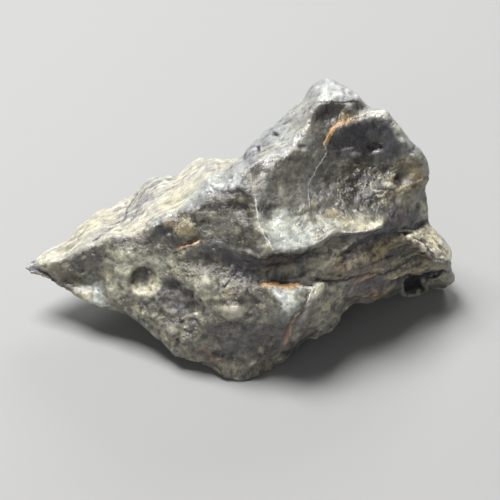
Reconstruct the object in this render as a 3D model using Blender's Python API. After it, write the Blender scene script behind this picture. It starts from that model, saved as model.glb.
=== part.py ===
"""A lunar meteorite: one wedge-shaped stone with a sharp tip, a scooped face, a jutting shelf and a
broken right end. It is laid out as it is seen from the front and above, then turned to stand on Z.

Sizes are in millimetres. A point on the side that is seen is (across, up, towards): how far right and
up it looks from the middle of the view, and how far it stands towards the viewer from the plane there.
A point on the far side or underneath is (x, y, z): right, away, and above the floor.
"""

import math

import bmesh
import bpy
import numpy as np
from mathutils import Vector
from mathutils.geometry import delaunay_2d_cdt

MM = 0.001
VIEW_TILT = math.radians(40)
VIEW_DISTANCE = 200.0
MIDDLE_HEIGHT = 10.0
FOOT_CUT = 0.35
FOOT_PLAY = 0.04
LUMP_SIZE = 2.6
LUMP_DEPTH = 0.5
LUMP_LEVEL = 0.3
VOXEL = 0.25
TRIANGLES = 9400
STONE_COLOUR = (0.14, 0.136, 0.122, 1)
STONE_ROUGHNESS = 0.42

# The edge of the stone as it is seen, from the tip over the summit and back along the foot
OUTLINE = [
    (-22.6, -1.45, -4.6), (-22.2, -1.0, -4.9), (-21.0, -0.4, -5.4), (-20.0, 0.15, -6.0),
    (-19.0, 0.6, -6.4), (-18.0, 1.25, -6.9), (-17.3, 2.1, -7.5), (-16.5, 3.0, -8.0),
    (-15.7, 3.85, -8.3), (-15.0, 4.25, -8.2), (-14.1, 4.4, -8.0), (-13.2, 4.9, -7.8),
    (-12.0, 5.7, -7.3), (-11.0, 6.55, -6.7), (-10.0, 7.25, -6.0), (-9.0, 7.45, -5.5),
    (-7.5, 7.45, -5.0), (-6.8, 8.0, -4.6), (-6.0, 8.7, -4.0), (-5.2, 9.1, -3.3),
    (-3.8, 9.2, -2.4), (-2.3, 9.15, -1.2), (-1.0, 9.2, 0.4),
    (-0.5, 10.0, 0.2), (0.0, 10.8, -0.2), (0.8, 11.5, -0.6), (1.6, 12.3, -0.9),
    (2.8, 13.2, -1.2), (3.7, 13.9, -1.3), (4.7, 14.4, -1.2), (5.4, 15.35, -1.0),
    (6.0, 16.35, -0.7), (6.7, 16.95, -0.4), (7.5, 17.15, -0.2), (8.4, 17.05, -0.1),
    (9.4, 16.35, 0.0), (10.2, 16.0, 0.1), (11.1, 15.0, 0.3), (12.2, 14.2, 0.5),
    (13.5, 14.0, 0.4), (14.2, 13.3, 0.3), (15.1, 11.9, 0.2), (16.0, 11.0, 0.0),
    (17.0, 10.3, -0.3), (17.8, 9.2, -0.8), (18.1, 8.0, -1.2), (18.15, 7.2, -1.6),
    (17.7, 6.5, -2.2), (17.6, 5.5, -2.8), (17.85, 4.3, -3.5), (17.9, 3.2, -4.2),
    (18.1, 2.5, -4.3), (18.8, 1.65, -4.5), (19.6, 0.8, -4.7), (20.15, 0.05, -4.9),
    (20.15, -0.65, -5.0), (20.1, -1.05, -5.7), (20.35, -1.6, -6.5), (20.5, -2.3, -7.5),
    (20.4, -3.1, -8.9), (20.15, -3.65, -10.2), (19.4, -3.9, -10.7), (18.7, -3.88, -10.8),
    (17.7, -4.1, -10.4), (16.8, -4.7, -9.6), (15.5, -4.95, -8.6), (14.6, -4.5, -7.6),
    (13.4, -4.9, -6.2), (12.5, -5.2, -5.2), (11.6, -5.6, -4.4), (10.5, -5.3, -3.9),
    (9.5, -6.1, -3.0), (9.1, -7.2, -2.4), (8.4, -8.1, -2.1), (7.0, -8.6, -2.0),
    (5.5, -9.1, -2.1), (4.7, -9.9, -1.9), (3.8, -11.0, -1.4), (2.5, -11.7, -1.1),
    (1.4, -12.55, -0.6), (0.2, -13.05, -0.1), (-1.2, -13.1, 0.0), (-2.5, -12.85, 0.0),
    (-3.7, -11.95, -0.3), (-5.0, -11.6, -0.4), (-6.6, -11.2, -0.5), (-8.0, -10.35, -0.7),
    (-9.5, -9.1, -1.0), (-10.8, -7.8, -1.5), (-12.0, -6.85, -2.0), (-13.5, -6.4, -2.3),
    (-15.0, -5.8, -2.2), (-16.5, -5.25, -2.4), (-18.0, -4.35, -2.9), (-19.5, -3.6, -3.6),
    (-20.8, -2.95, -4.0), (-21.9, -2.5, -4.2), (-22.5, -2.0, -4.4),
]

# Crests, brows, ledges and hollows of the side that is seen
FRONT_LINES = {
    "left crest": [
        (-22.3, -1.65, -4.0), (-21.4, -1.55, -3.6), (-20.0, -1.2, -2.9), (-18.8, -0.85, -2.4),
        (-17.8, -0.3, -1.8),
        (-16.6, 0.3, -1.2), (-15.3, 0.6, -0.6), (-14.2, 1.2, 0.2), (-12.8, 1.55, 1.0),
        (-11.6, 1.65, 1.6), (-10.8, 1.7, 2.0), (-10.1, 2.5, 2.3), (-9.0, 3.4, 2.7),
        (-7.0, 4.4, 3.4), (-5.8, 5.3, 3.8), (-4.9, 6.3, 4.0), (-4.1, 7.2, 3.9),
        (-2.8, 7.9, 3.2), (-1.8, 8.6, 2.0), (-1.0, 9.2, 0.4),
    ],
    "bevel foot": [
        (-10.8, 1.7, 2.0), (-9.5, 2.1, 3.1), (-8.2, 3.0, 3.6), (-6.8, 3.4, 4.2),
        (-5.4, 4.2, 4.8), (-3.8, 4.8, 5.2), (-2.4, 5.5, 5.5), (-0.9, 6.2, 5.7),
        (-0.1, 6.1, 5.9), (0.6, 5.3, 6.1),
    ],
    "beige facet": [
        (-0.9, 7.2, 5.2), (0.8, 8.8, 4.6), (1.6, 8.0, 4.9), (1.2, 6.4, 5.6),
        (0.6, 5.3, 6.1), (-0.1, 6.1, 5.9), (-0.9, 7.2, 5.2),
    ],
    "middle ridge": [
        (0.6, 5.3, 6.1), (0.8, 4.2, 6.3), (0.8, 2.9, 6.5), (1.2, 2.0, 6.7),
        (1.8, 1.1, 6.8), (2.4, -0.2, 6.8),
    ],
    "brow": [
        (-10.8, 1.7, 2.0), (-10.0, 1.75, 2.7), (-8.7, 1.5, 3.3), (-7.4, 0.7, 3.8),
        (-6.0, 0.4, 4.3), (-4.5, 0.3, 4.6), (-2.8, 0.0, 5.0), (-1.0, -0.5, 5.6),
        (0.6, -0.6, 6.2), (1.4, -0.7, 6.5), (2.4, -0.2, 6.8),
    ],
    "shelf edge": [
        (2.4, -0.2, 6.8), (4.0, -0.15, 6.5), (5.5, 0.15, 6.1), (7.0, 0.7, 5.6),
        (8.1, 1.5, 5.1), (10.0, 1.7, 4.5), (11.8, 1.8, 3.8), (13.1, 2.4, 3.0),
        (13.8, 3.4, 2.1), (14.8, 4.7, 1.2),
    ],
    "long hollow": [
        (-9.8, 1.0, 2.2), (-7.8, 0.0, 3.1), (-6.0, -0.7, 3.5), (-4.3, -1.3, 3.9),
        (-2.5, -1.6, 4.1), (-0.5, -2.0, 4.2), (1.2, -2.5, 4.0), (3.0, -2.7, 3.8),
        (4.8, -2.5, 3.7), (6.0, -1.6, 3.8),
    ],
    "under the shelf": [
        (2.4, -0.9, 5.2), (4.0, -0.8, 5.0), (5.5, -0.5, 4.7), (7.0, 0.0, 4.3), (8.2, 0.7, 3.9),
        (9.4, 1.0, 3.4),
    ],
    "vein shoulder": [
        (9.2, -0.3, 3.9), (8.7, -1.0, 4.0), (8.3, -1.8, 3.8), (7.8, -2.5, 3.5),
    ],
    "block edge": [
        (7.2, -3.7, 4.3), (6.5, -4.6, 4.7), (5.8, -5.6, 4.9), (5.2, -6.8, 4.6), (4.7, -7.9, 3.8),
        (4.3, -9.0, 2.7),
    ],
    "second hollow": [
        (9.6, -0.5, 2.8), (10.6, 0.0, 2.4), (12.0, 0.6, 1.8), (13.5, 1.1, 1.0),
        (15.0, 1.7, 0.2), (16.4, 2.1, -1.8), (17.2, 2.6, -3.2), (17.9, 3.2, -4.2),
    ],
    "third hollow": [
        (6.8, -3.2, 3.2), (8.2, -3.2, 2.6), (9.5, -3.2, 2.2), (10.7, -2.9, 1.6),
        (12.2, -2.5, 0.8), (13.6, -2.4, -0.6), (14.8, -1.9, -2.0), (16.0, -1.1, -3.2),
        (17.2, -0.7, -3.7), (18.0, -1.5, -4.4), (19.2, -1.5, -5.2), (20.1, -1.05, -5.7),
    ],
    "lower block top": [
        (1.4, -3.5, 5.0), (3.0, -3.6, 4.8), (4.7, -3.7, 4.6), (6.2, -3.8, 4.2),
        (6.8, -3.2, 3.2),
    ],
    "bright facet": [
        (1.4, -3.5, 5.0), (2.2, -4.1, 5.5), (3.5, -5.2, 5.9), (3.7, -6.3, 5.9),
        (5.0, -5.5, 5.2), (5.8, -4.4, 4.7), (6.2, -3.8, 4.2),
    ],
    "block crack": [
        (6.8, -3.2, 3.2), (6.6, -3.7, 4.3), (6.1, -4.4, 4.5), (5.4, -5.4, 4.6),
        (4.8, -6.5, 4.3), (4.3, -7.6, 3.6), (3.9, -8.8, 2.6), (3.5, -10.0, 1.4),
    ],
    "summit flank": [
        (1.6, 8.0, 4.9), (3.3, 9.0, 4.6), (4.7, 10.1, 4.1), (5.5, 11.0, 3.7),
        (5.9, 12.4, 3.1), (6.2, 14.0, 2.5), (7.1, 14.7, 2.8), (8.2, 14.9, 2.8),
        (9.5, 14.75, 2.4), (10.8, 14.85, 1.3), (11.1, 15.0, 0.3),
    ],
    "upper vein": [
        (12.2, 14.2, 0.5), (11.2, 13.45, 1.6), (10.0, 13.0, 1.9), (8.8, 12.9, 2.1),
        (8.0, 11.8, 2.5), (7.5, 10.8, 2.5),
    ],
    "shoulder bevel": [
        (11.2, 13.45, 1.6), (12.4, 13.5, 1.8), (13.5, 13.2, 1.8), (14.2, 12.5, 1.7),
        (14.7, 11.7, 1.5), (15.4, 10.7, 1.3), (16.2, 9.9, 0.9), (17.0, 9.2, 0.4), (17.3, 8.2, -0.1),
        (17.5, 7.2, -0.7),
    ],
    "end lip": [
        (15.4, 1.3, 0.0), (16.2, 0.7, -0.7), (17.2, 0.3, -1.5), (17.9, -0.5, -1.9),
        (18.4, -1.2, -2.4), (19.3, -1.15, -3.6), (20.15, -0.65, -5.0),
    ],
    "end ledge": [
        (14.2, -2.9, -1.2), (15.4, -2.3, -2.6), (16.7, -1.8, -3.5), (18.0, -1.95, -4.2),
        (19.2, -1.95, -5.0), (20.35, -1.6, -6.5),
    ],
    "end slot": [
        (15.4, -3.0, -5.0), (16.5, -2.75, -5.8), (17.8, -2.65, -6.6), (18.9, -2.5, -6.8),
    ],
    "end lobe": [
        (17.9, -3.1, -6.7), (18.4, -2.9, -6.2), (19.4, -2.8, -6.4), (20.4, -3.1, -8.9),
    ],
    "chip edge": [
        (-18.5, -3.1, -3.4), (-17.5, -2.8, -3.2), (-16.8, -3.2, -3.3), (-15.9, -2.7, -2.9),
        (-15.2, -2.9, -2.6), (-14.7, -3.9, -2.4), (-14.4, -5.2, -2.1),
    ],
    "over the chip": [
        (-18.6, -2.7, -2.9), (-17.5, -2.4, -2.4), (-16.0, -2.2, -1.9), (-14.9, -2.4, -1.4),
        (-14.2, -3.6, -1.2), (-13.9, -5.2, -1.5),
    ],
}

# Single points between those lines
FRONT_SPOTS = [
    # upper left face, seen along its length
    (-19.0, -0.2, -4.2), (-16.6, 1.6, -4.6), (-15.0, 2.6, -4.4), (-13.0, 3.2, -3.4),
    (-12.0, 4.0, -4.0), (-10.5, 5.2, -3.0), (-9.5, 4.6, -0.6), (-8.5, 6.0, -2.0),
    (-7.0, 6.4, -1.0), (-5.8, 7.4, -0.4), (-4.4, 8.3, 0.4), (-13.4, 2.2, -1.6),
    # bevel under the crest
    (-8.0, 3.6, 3.2), (-5.6, 4.9, 4.2), (-3.4, 6.4, 4.7), (-1.8, 7.2, 4.8), (-1.4, 8.3, 3.4),
    # tip and left front
    (-19.0, -2.1, -2.8), (-17.8, -1.4, -2.1), (-16.4, -0.9, -1.3), (-14.6, -0.4, 0.0),
    (-12.5, 0.0, 1.2), (-11.0, 0.4, 1.9), (-14.8, -1.4, -0.5), (-13.2, -1.6, 0.4),
    (-12.8, -4.0, -0.4), (-17.0, -3.9, -2.9), (-15.8, -4.2, -2.6), (-10.4, -3.2, 0.9), (-8.5, -2.0, 2.1),
    (-8.5, -4.0, 1.7), (-10.0, -5.5, 0.6), (-7.0, -5.0, 2.2), (-5.5, -4.5, 2.9),
    (-8.5, -7.0, 0.9), (-6.5, -7.0, 1.9), (-4.5, -6.0, 3.1), (-7.0, -9.0, 0.9),
    (-5.0, -9.5, 1.3), (-4.0, -8.0, 2.6), (-1.8, -6.0, 4.4), (-2.0, -8.5, 2.8),
    (-6.2, -2.6, 3.5), (-4.5, -3.3, 4.1), (-2.8, -3.7, 4.4), (-0.5, -3.6, 4.8),
    # middle front down to the foot
    (0.0, -5.0, 4.6), (1.2, -5.0, 4.8), (0.0, -7.0, 3.7), (1.5, -7.0, 4.2),
    (2.5, -8.0, 3.6), (-0.5, -9.5, 2.2), (1.5, -10.0, 1.9), (-2.8, -10.5, 1.2),
    (-1.0, -11.5, 0.9), (0.5, -11.8, 0.5),
    # olive facet left of the middle ridge
    (-0.5, 3.5, 5.6), (-1.5, 1.5, 5.4), (-3.5, 3.0, 5.0), (-3.5, 1.0, 4.8), (-5.0, 2.5, 4.6),
    (-7.0, 2.2, 4.3),
    # summit and its flank
    (0.5, 9.2, 2.8), (1.2, 10.0, 2.0), (2.5, 10.0, 3.4), (2.0, 11.2, 1.2), (3.5, 12.0, 1.6),
    (4.0, 10.7, 3.4), (4.7, 13.0, 1.8), (5.3, 12.0, 3.0), (6.6, 15.8, 1.2), (7.5, 16.2, 1.6),
    (7.2, 15.2, 2.2), (8.5, 15.5, 2.0), (9.5, 15.3, 1.9),
    # hollow under the summit's lip
    (7.0, 13.8, 2.3), (8.4, 14.0, 2.2), (9.5, 14.2, 2.0), (10.8, 14.3, 1.0),
    # scooped face
    (6.8, 12.2, 2.7), (7.2, 11.4, 2.6), (9.5, 12.2, 2.3), (9.5, 10.9, 1.7), (11.5, 12.5, 1.6),
    (13.0, 12.2, 1.2), (11.5, 11.0, 1.0), (13.5, 11.0, 0.8), (14.5, 10.2, 0.6),
    (5.0, 8.0, 3.6), (7.0, 8.5, 2.4), (9.5, 10.0, 1.5), (9.5, 8.5, 1.2), (12.0, 9.0, 0.6),
    (14.0, 9.0, 0.4), (15.5, 8.5, 0.3), (16.5, 7.5, -0.2), (10.0, 7.5, 1.1), (12.5, 8.0, 0.5),
    (14.5, 7.2, 0.2), (12.5, 6.3, 0.8), (8.0, 6.0, 2.0), (10.0, 5.8, 1.5), (5.5, 5.8, 3.2),
    (2.5, 6.8, 4.5), (4.0, 6.5, 3.9), (2.5, 5.8, 4.7), (3.0, 4.5, 4.9), (5.0, 4.2, 4.2),
    (7.5, 4.2, 3.2), (10.0, 4.5, 2.4), (12.5, 4.5, 1.8), (14.0, 5.5, 1.0), (15.3, 6.0, 0.3),
    (16.5, 6.0, -0.6), (16.0, 4.5, -0.6), (16.8, 3.5, -2.4), (15.0, 3.5, 0.9),
    # shelf
    (1.8, 3.2, 5.5), (3.4, 3.1, 5.1), (3.5, 1.6, 5.9), (5.5, 2.9, 4.6), (5.5, 1.7, 5.3),
    (7.5, 3.3, 3.8), (7.5, 2.2, 4.7), (10.0, 3.4, 3.1), (12.2, 3.6, 2.3), (10.0, 2.5, 3.9),
    (12.2, 2.8, 3.1),
    # bands under the shelf
    (7.2, -1.2, 4.3), (6.0, -2.6, 4.0), (6.8, -2.3, 4.1), (5.0, -1.5, 4.2), (10.0, 0.7, 3.6),
    (11.5, 1.0, 3.2),
    (13.5, 1.7, 2.2), (15.0, 2.8, 1.0), (3.0, -3.2, 4.2),
    # olive block
    (9.0, -1.2, 3.4), (10.0, -1.2, 3.2), (11.5, -0.6, 2.4), (13.0, 0.0, 1.6), (14.5, 0.5, 0.6),
    (10.0, -2.5, 2.8), (11.5, -2.0, 2.0), (13.0, -1.6, 1.2), (14.5, -1.2, -0.2), (15.8, -0.2, -1.4),
    # lower right block
    (7.5, -4.0, 3.4), (8.0, -5.5, 2.4), (6.8, -6.2, 3.0), (6.0, -7.5, 2.4), (7.5, -7.5, 0.8),
    (5.2, -8.5, 1.6), (9.5, -4.0, 1.8), (11.0, -4.0, 0.6), (12.5, -3.7, -0.6), (14.0, -3.2, -2.0),
    (10.2, -4.8, -0.6), (12.0, -4.8, -2.2), (13.6, -4.3, -3.6),
    # broken right end
    (16.6, 1.4, -1.5), (17.6, 1.6, -2.9), (18.4, 0.6, -3.1), (19.2, -0.2, -4.1),
    (17.4, -0.3, -2.7), (19.6, -3.4, -8.0), (18.4, -3.5, -8.2), (15.3, -3.6, -5.8),
    (16.0, -3.9, -7.8), (17.0, -3.6, -8.2),
]

# The far side and the underside, out of sight from the front
BACK_LINES = {
    "back crest": [
        (-10.5, 9.0, 6.2), (-7.5, 10.2, 7.6), (-3.5, 11.2, 8.2), (0.5, 12.6, 7.2),
        (4.5, 13.3, 5.6), (8.5, 12.9, 4.4), (12.0, 11.4, 4.2), (15.2, 9.4, 4.8), (17.6, 7.6, 4.4),
    ],
    "back rib": [
        (4.5, 13.3, 5.6), (5.6, 12.9, 10.0), (6.4, 12.2, 14.0), (7.4, 11.7, 18.5),
    ],
    "underside edge": [
        (-12.0, 6.8, 3.0), (-8.0, 8.6, 1.2), (-4.0, 9.8, 0.1), (0.0, 10.6, -0.3),
        (4.5, 11.2, -0.3), (9.0, 10.4, 0.8), (13.5, 8.8, 1.4), (17.4, 7.3, 0.0),
    ],
    "underside keel": [
        (-9.0, 0.6, 2.4), (-5.0, -1.0, 1.5), (-1.5, -4.0, 0.6), (-1.0, -7.2, -0.3),
    ],
}

BACK_SPOTS = [
    # face above the crest
    (-13.0, 8.4, 6.6), (-7.8, 9.4, 10.2), (-4.5, 9.2, 12.4), (-1.0, 8.9, 13.6), (0.6, 10.4, 11.0),
    (2.4, 11.0, 13.0), (3.0, 10.0, 16.2), (9.4, 11.4, 9.0), (9.8, 10.8, 13.5), (11.6, 10.0, 17.0),
    (13.2, 9.6, 9.6), (15.0, 8.2, 13.2), (12.6, 9.6, 13.6),
    # face under the crest
    (-8.6, 9.5, 4.2), (-4.0, 10.8, 4.4), (1.0, 11.4, 3.2), (5.4, 12.2, 2.2), (9.6, 11.4, 2.2),
    (13.6, 9.8, 2.6),
    # behind the broken end
    (19.8, 7.0, 5.2), (20.0, 7.2, 3.2), (19.6, 7.2, 1.2),
    # underside
    (-16.5, 3.6, 3.8), (-13.0, 1.8, 3.2), (-10.0, 4.4, 1.8), (-6.0, 4.0, 0.9), (-2.0, 0.8, 0.9),
    (-1.5, 6.4, 0.4), (0.8, -5.6, 0.1), (3.2, -3.4, 1.6), (2.6, 3.4, 1.0), (4.6, -0.6, 2.4),
    (4.6, 7.2, 0.4), (7.8, 1.0, 2.9), (8.6, 5.4, 1.8), (11.0, 3.2, 2.7), (12.6, 6.2, 1.6),
    (15.6, 4.8, 1.4), (17.6, 6.0, -0.3),
]

# Dents and bumps, as place, radius and depth, with a bump's depth below nothing
FRONT_DENTS = [
    (-10.7, -3.0, 1.7, 0.7), (-10.9, -2.6, 1.1, 0.35), (-8.2, -3.7, 1.4, 0.4), (-12.6, -4.4, 1.2, 0.2),
    (-4.6, -3.1, 1.5, -0.35), (-1.8, -6.2, 1.5, -0.3), (-5.6, -6.1, 1.2, 0.3), (-8.0, -7.9, 1.2, -0.3),
    (-3.4, -8.9, 1.4, 0.35), (0.4, -8.5, 1.4, 0.3), (-6.3, -9.3, 1.0, -0.25), (0.2, -11.0, 1.0, -0.25),
    (-6.3, 2.4, 1.5, -0.3), (-8.4, 1.5, 1.2, 0.35), (-3.0, 2.0, 1.8, 0.2), (-1.2, 4.4, 1.4, 0.2),
    (-12.4, -0.3, 1.2, -0.25), (-4.0, -1.6, 1.5, 0.25), (2.4, 11.6, 0.7, 0.25), (5.0, 10.3, 0.9, 0.25),
    (12.5, 10.2, 1.0, 0.35), (10.4, 9.4, 1.0, -0.2), (15.2, 7.2, 1.0, 0.4), (9.9, 14.4, 0.7, -0.4),
    (10.9, 13.6, 0.8, 0.25), (7.6, 13.4, 1.3, 0.15), (13.4, 6.6, 1.4, -0.3), (11.0, 6.8, 1.3, 0.2),
    (4.4, 3.6, 1.6, 0.25), (7.6, -6.6, 1.1, -0.25), (9.0, -5.0, 1.1, 0.25), (11.2, -0.6, 1.3, -0.25),
    (13.2, -0.4, 1.0, 0.3), (16.7, -3.6, 1.2, 0.6), (15.0, -3.4, 1.0, 0.3), (19.3, 0.1, 0.9, -0.2),
    (-13.6, 3.4, 1.3, 0.25), (-10.6, 4.6, 1.2, -0.25), (-7.8, 5.6, 1.3, 0.3), (-17.6, 0.4, 1.2, -0.2),
]
BACK_DENTS = [
    (-11.6, 8.4, 2.2, 0.4), (-7.6, 4.6, 2.4, 0.5), (-5.6, 10.4, 1.8, 0.35), (-1.6, 4.6, 1.9, -0.35),
    (-1.4, 11.0, 2.6, 0.5), (2.4, 8.6, 1.6, 0.3), (2.6, 15.0, 1.8, 0.35), (1.6, 2.4, 1.4, 0.4),
    (6.6, 2.8, 1.7, 0.4), (8.2, 8.2, 2.4, 0.55), (9.2, 15.6, 2.6, 0.6), (10.4, 11.6, 1.2, -0.3),
    (12.8, 3.4, 1.6, 0.4), (13.4, 8.6, 1.7, 0.4), (14.2, 15.4, 1.5, -0.3), (12.0, 18.6, 1.3, 0.3),
    (16.6, 9.6, 1.3, 0.35), (5.2, 18.2, 1.4, 0.3), (-14.6, 5.4, 1.3, 0.25), (-3.4, 1.8, 1.2, 0.3),
]

# Cracks and seams, as a line with its half width and depth
FRONT_GROOVES = [
    ([(-21.6, -1.9), (-20.6, -2.4), (-19.6, -3.0)], 0.5, 0.35),
    ([(1.2, -3.3), (3.0, -3.35), (4.7, -3.4), (6.2, -3.6)], 0.5, 0.35),
    ([(6.2, -4.2), (5.6, -5.2), (4.9, -6.5), (4.3, -7.8), (4.0, -8.8)], 0.45, 0.3),
    ([(-7.3, 0.0), (-6.4, 0.5), (-5.2, 1.0)], 0.45, 0.25),
    ([(-3.7, 5.9), (-2.4, 5.7), (-0.9, 5.8)], 0.6, 0.1),
    ([(15.6, 1.7), (16.6, 2.0), (17.4, 2.8)], 0.4, 0.3),
    ([(15.6, -2.9), (17.6, -2.6), (18.9, -2.5)], 0.45, 0.3),
    ([(8.8, -4.6), (8.0, -6.2), (7.4, -7.6)], 0.5, 0.25),
    ([(-12.6, 5.0), (-11.4, 4.0), (-10.2, 3.6)], 0.6, 0.25),
]
BACK_GROOVES = [
    ([(-9.0, 10.8), (-5.0, 12.6), (-1.0, 12.8), (2.0, 14.4)], 0.6, 0.35),
    ([(10.6, 7.4), (11.4, 10.4), (13.6, 13.2)], 0.6, 0.35),
    ([(-6.0, 3.2), (-2.0, 3.0), (3.0, 4.2), (7.0, 3.8)], 0.6, 0.3),
]


def seen(across, up, towards):
    """The place in the stone's own axes of a point that looks to be at across and up."""
    nearer = 1 - towards / VIEW_DISTANCE
    rise = up * nearer
    return Vector((
        across * nearer,
        rise * math.sin(VIEW_TILT) - towards * math.cos(VIEW_TILT),
        rise * math.cos(VIEW_TILT) + towards * math.sin(VIEW_TILT) + MIDDLE_HEIGHT,
    ))


def as_seen(x, y, z):
    """The reverse of seen, for numbers or for arrays of them."""
    height = z - MIDDLE_HEIGHT
    towards = height * math.sin(VIEW_TILT) - y * math.cos(VIEW_TILT)
    nearer = 1 - towards / VIEW_DISTANCE
    rise = y * math.sin(VIEW_TILT) + height * math.cos(VIEW_TILT)
    return x / nearer, rise / nearer, towards


def inside_outline(across, up):
    """Whether a place in the view is over the stone."""
    inside = False
    for (x1, y1, _), (x2, y2, _) in zip(OUTLINE, OUTLINE[1:] + OUTLINE[:1]):
        if (y1 > up) != (y2 > up) and across < x1 + (x2 - x1) * (up - y1) / (y2 - y1):
            inside = not inside
    return inside


def net(spots, lines):
    """Triangles inside the outline through every spot, with the lines as edges of theirs."""
    points = [tuple(point) for point in OUTLINE]
    known = {point[:2]: index for index, point in enumerate(points)}
    edges = []
    for line in [OUTLINE + OUTLINE[:1]] + list(lines):
        for point in line:
            if point[:2] not in known:
                known[point[:2]] = len(points)
                points.append(tuple(point))
        edges += [(known[start[:2]], known[end[:2]]) for start, end in zip(line, line[1:])]
    points += [tuple(point) for point in spots]
    made = delaunay_2d_cdt([Vector(point[:2]) for point in points], edges, [], 0, 1e-5, True)
    if any(not source for source in made[3]):
        raise ValueError("two lines of the stone cross where no point is given")
    faces = []
    for face in made[2]:
        corners = [made[3][corner][0] for corner in face]
        middle = [sum(points[corner][axis] for corner in corners) / 3 for axis in (0, 1)]
        if inside_outline(*middle):
            faces.append(corners)
    return points, faces


def cage():
    """The closed net of triangles through every given point."""
    front = net(FRONT_SPOTS, FRONT_LINES.values())
    back = net(
        [as_seen(*spot) for spot in BACK_SPOTS],
        [[as_seen(*spot) for spot in line] for line in BACK_LINES.values()],
    )
    shape = bmesh.new()
    ring = [shape.verts.new(seen(*point) * MM) for point in OUTLINE]
    for (points, faces), turned in ((front, False), (back, True)):
        corners = ring + [shape.verts.new(seen(*point) * MM) for point in points[len(ring):]]
        for face in faces:
            shape.faces.new([corners[index] for index in (face[::-1] if turned else face)])
    return shape


def rounded(shape):
    """Splits the net finer and eases its edges, as wear has done, without drawing it in."""
    for passes in (0, 3, 3):
        bmesh.ops.subdivide_edges(shape, edges=shape.edges[:], cuts=1, use_grid_fill=True)
        bmesh.ops.triangulate(shape, faces=[face for face in shape.faces if len(face.verts) > 3])
        for factor in (0.5, -0.5) * passes:
            bmesh.ops.smooth_vert(
                shape, verts=shape.verts[:], factor=factor,
                use_axis_x=True, use_axis_y=True, use_axis_z=True,
            )


def applied(obj, kind, **settings):
    """Gives the object one modifier and keeps its result as the mesh."""
    modifier = obj.modifiers.new(kind.title(), kind)
    for name, value in settings.items():
        setattr(modifier, name, value)
    graph = bpy.context.evaluated_depsgraph_get()
    done = bpy.data.meshes.new_from_object(obj.evaluated_get(graph))
    obj.modifiers.clear()
    obj.data = done


def distance_to(places, line):
    """Each place's distance from a line."""
    nearest = np.full(len(places), 1e9)
    for start, end in zip(line, line[1:]):
        start, along = np.array(start), np.subtract(end, start)
        share = np.clip((places - start) @ along / (along @ along), 0, 1)
        gap = places - start - share[:, None] * along
        nearest = np.minimum(nearest, np.hypot(gap[:, 0], gap[:, 1]))
    return nearest


def depth_of(places, dents, grooves):
    """How far the marks press in the surface at each place."""
    depth = np.zeros(len(places))
    for across, up, radius, deep in dents:
        distance = np.hypot(places[:, 0] - across, places[:, 1] - up)
        depth += deep * np.clip(1 - (distance / radius) ** 2, 0, 1) ** 2
    for line, half_width, deep in grooves:
        depth += deep * np.clip(1 - (distance_to(places, line) / half_width) ** 2, 0, 1) ** 2
    return depth


def marked(obj):
    """Presses the dents and cracks into the side that faces each of the two ways."""
    count = len(obj.data.vertices)
    places, normals = np.zeros(count * 3), np.zeros(count * 3)
    obj.data.vertices.foreach_get("co", places)
    obj.data.vertices.foreach_get("normal", normals)
    places, normals = places.reshape(-1, 3) / MM, normals.reshape(-1, 3)
    across, up, _ = as_seen(*places.T)
    views = (
        ((0, -math.cos(VIEW_TILT), math.sin(VIEW_TILT)), across, up, FRONT_DENTS, FRONT_GROOVES),
        ((0, 1, 0), places[:, 0], places[:, 2], BACK_DENTS, BACK_GROOVES),
    )
    moved = places.copy()
    for towards, right, high, dents, grooves in views:
        facing = np.clip(normals @ np.array(towards) * 3, 0, 1)
        depth = depth_of(np.stack([right, high], axis=1), dents, grooves)
        moved -= (depth * facing)[:, None] * np.array(towards)
    obj.data.vertices.foreach_set("co", (moved * MM).ravel())
    obj.data.update()


def stone_material():
    material = bpy.data.materials.new("stone")
    material.use_nodes = True
    shader = material.node_tree.nodes["Principled BSDF"]
    shader.inputs["Base Color"].default_value = STONE_COLOUR
    shader.inputs["Roughness"].default_value = STONE_ROUGHNESS
    return material


def cut_foot(obj):
    """Cuts the three lowest points flat, so that the stone stands on them."""
    shape = bmesh.new()
    shape.from_mesh(obj.data)
    level = min(vert.co.z for vert in shape.verts) + FOOT_CUT * MM
    bmesh.ops.bisect_plane(
        shape, geom=shape.verts[:] + shape.edges[:] + shape.faces[:], dist=1e-6,
        plane_co=(0, 0, level), plane_no=(0, 0, -1), clear_outer=True,
    )
    bmesh.ops.holes_fill(shape, edges=[edge for edge in shape.edges if edge.is_boundary], sides=0)
    bmesh.ops.triangulate(shape, faces=shape.faces[:])
    shape.to_mesh(obj.data)
    shape.free()


def set_down(obj):
    """Levels the flats that the stone stands on and puts the middle of its foot at the origin."""
    verts = obj.data.vertices
    low = [min(vert.co[axis] for vert in verts) for axis in range(3)]
    high = [max(vert.co[axis] for vert in verts) for axis in range(3)]
    foot = Vector(((low[0] + high[0]) / 2, (low[1] + high[1]) / 2, low[2]))
    for vert in verts:
        vert.co -= foot
        if vert.co.z < FOOT_PLAY * MM:
            vert.co.z = 0
    obj.data.update()


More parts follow.
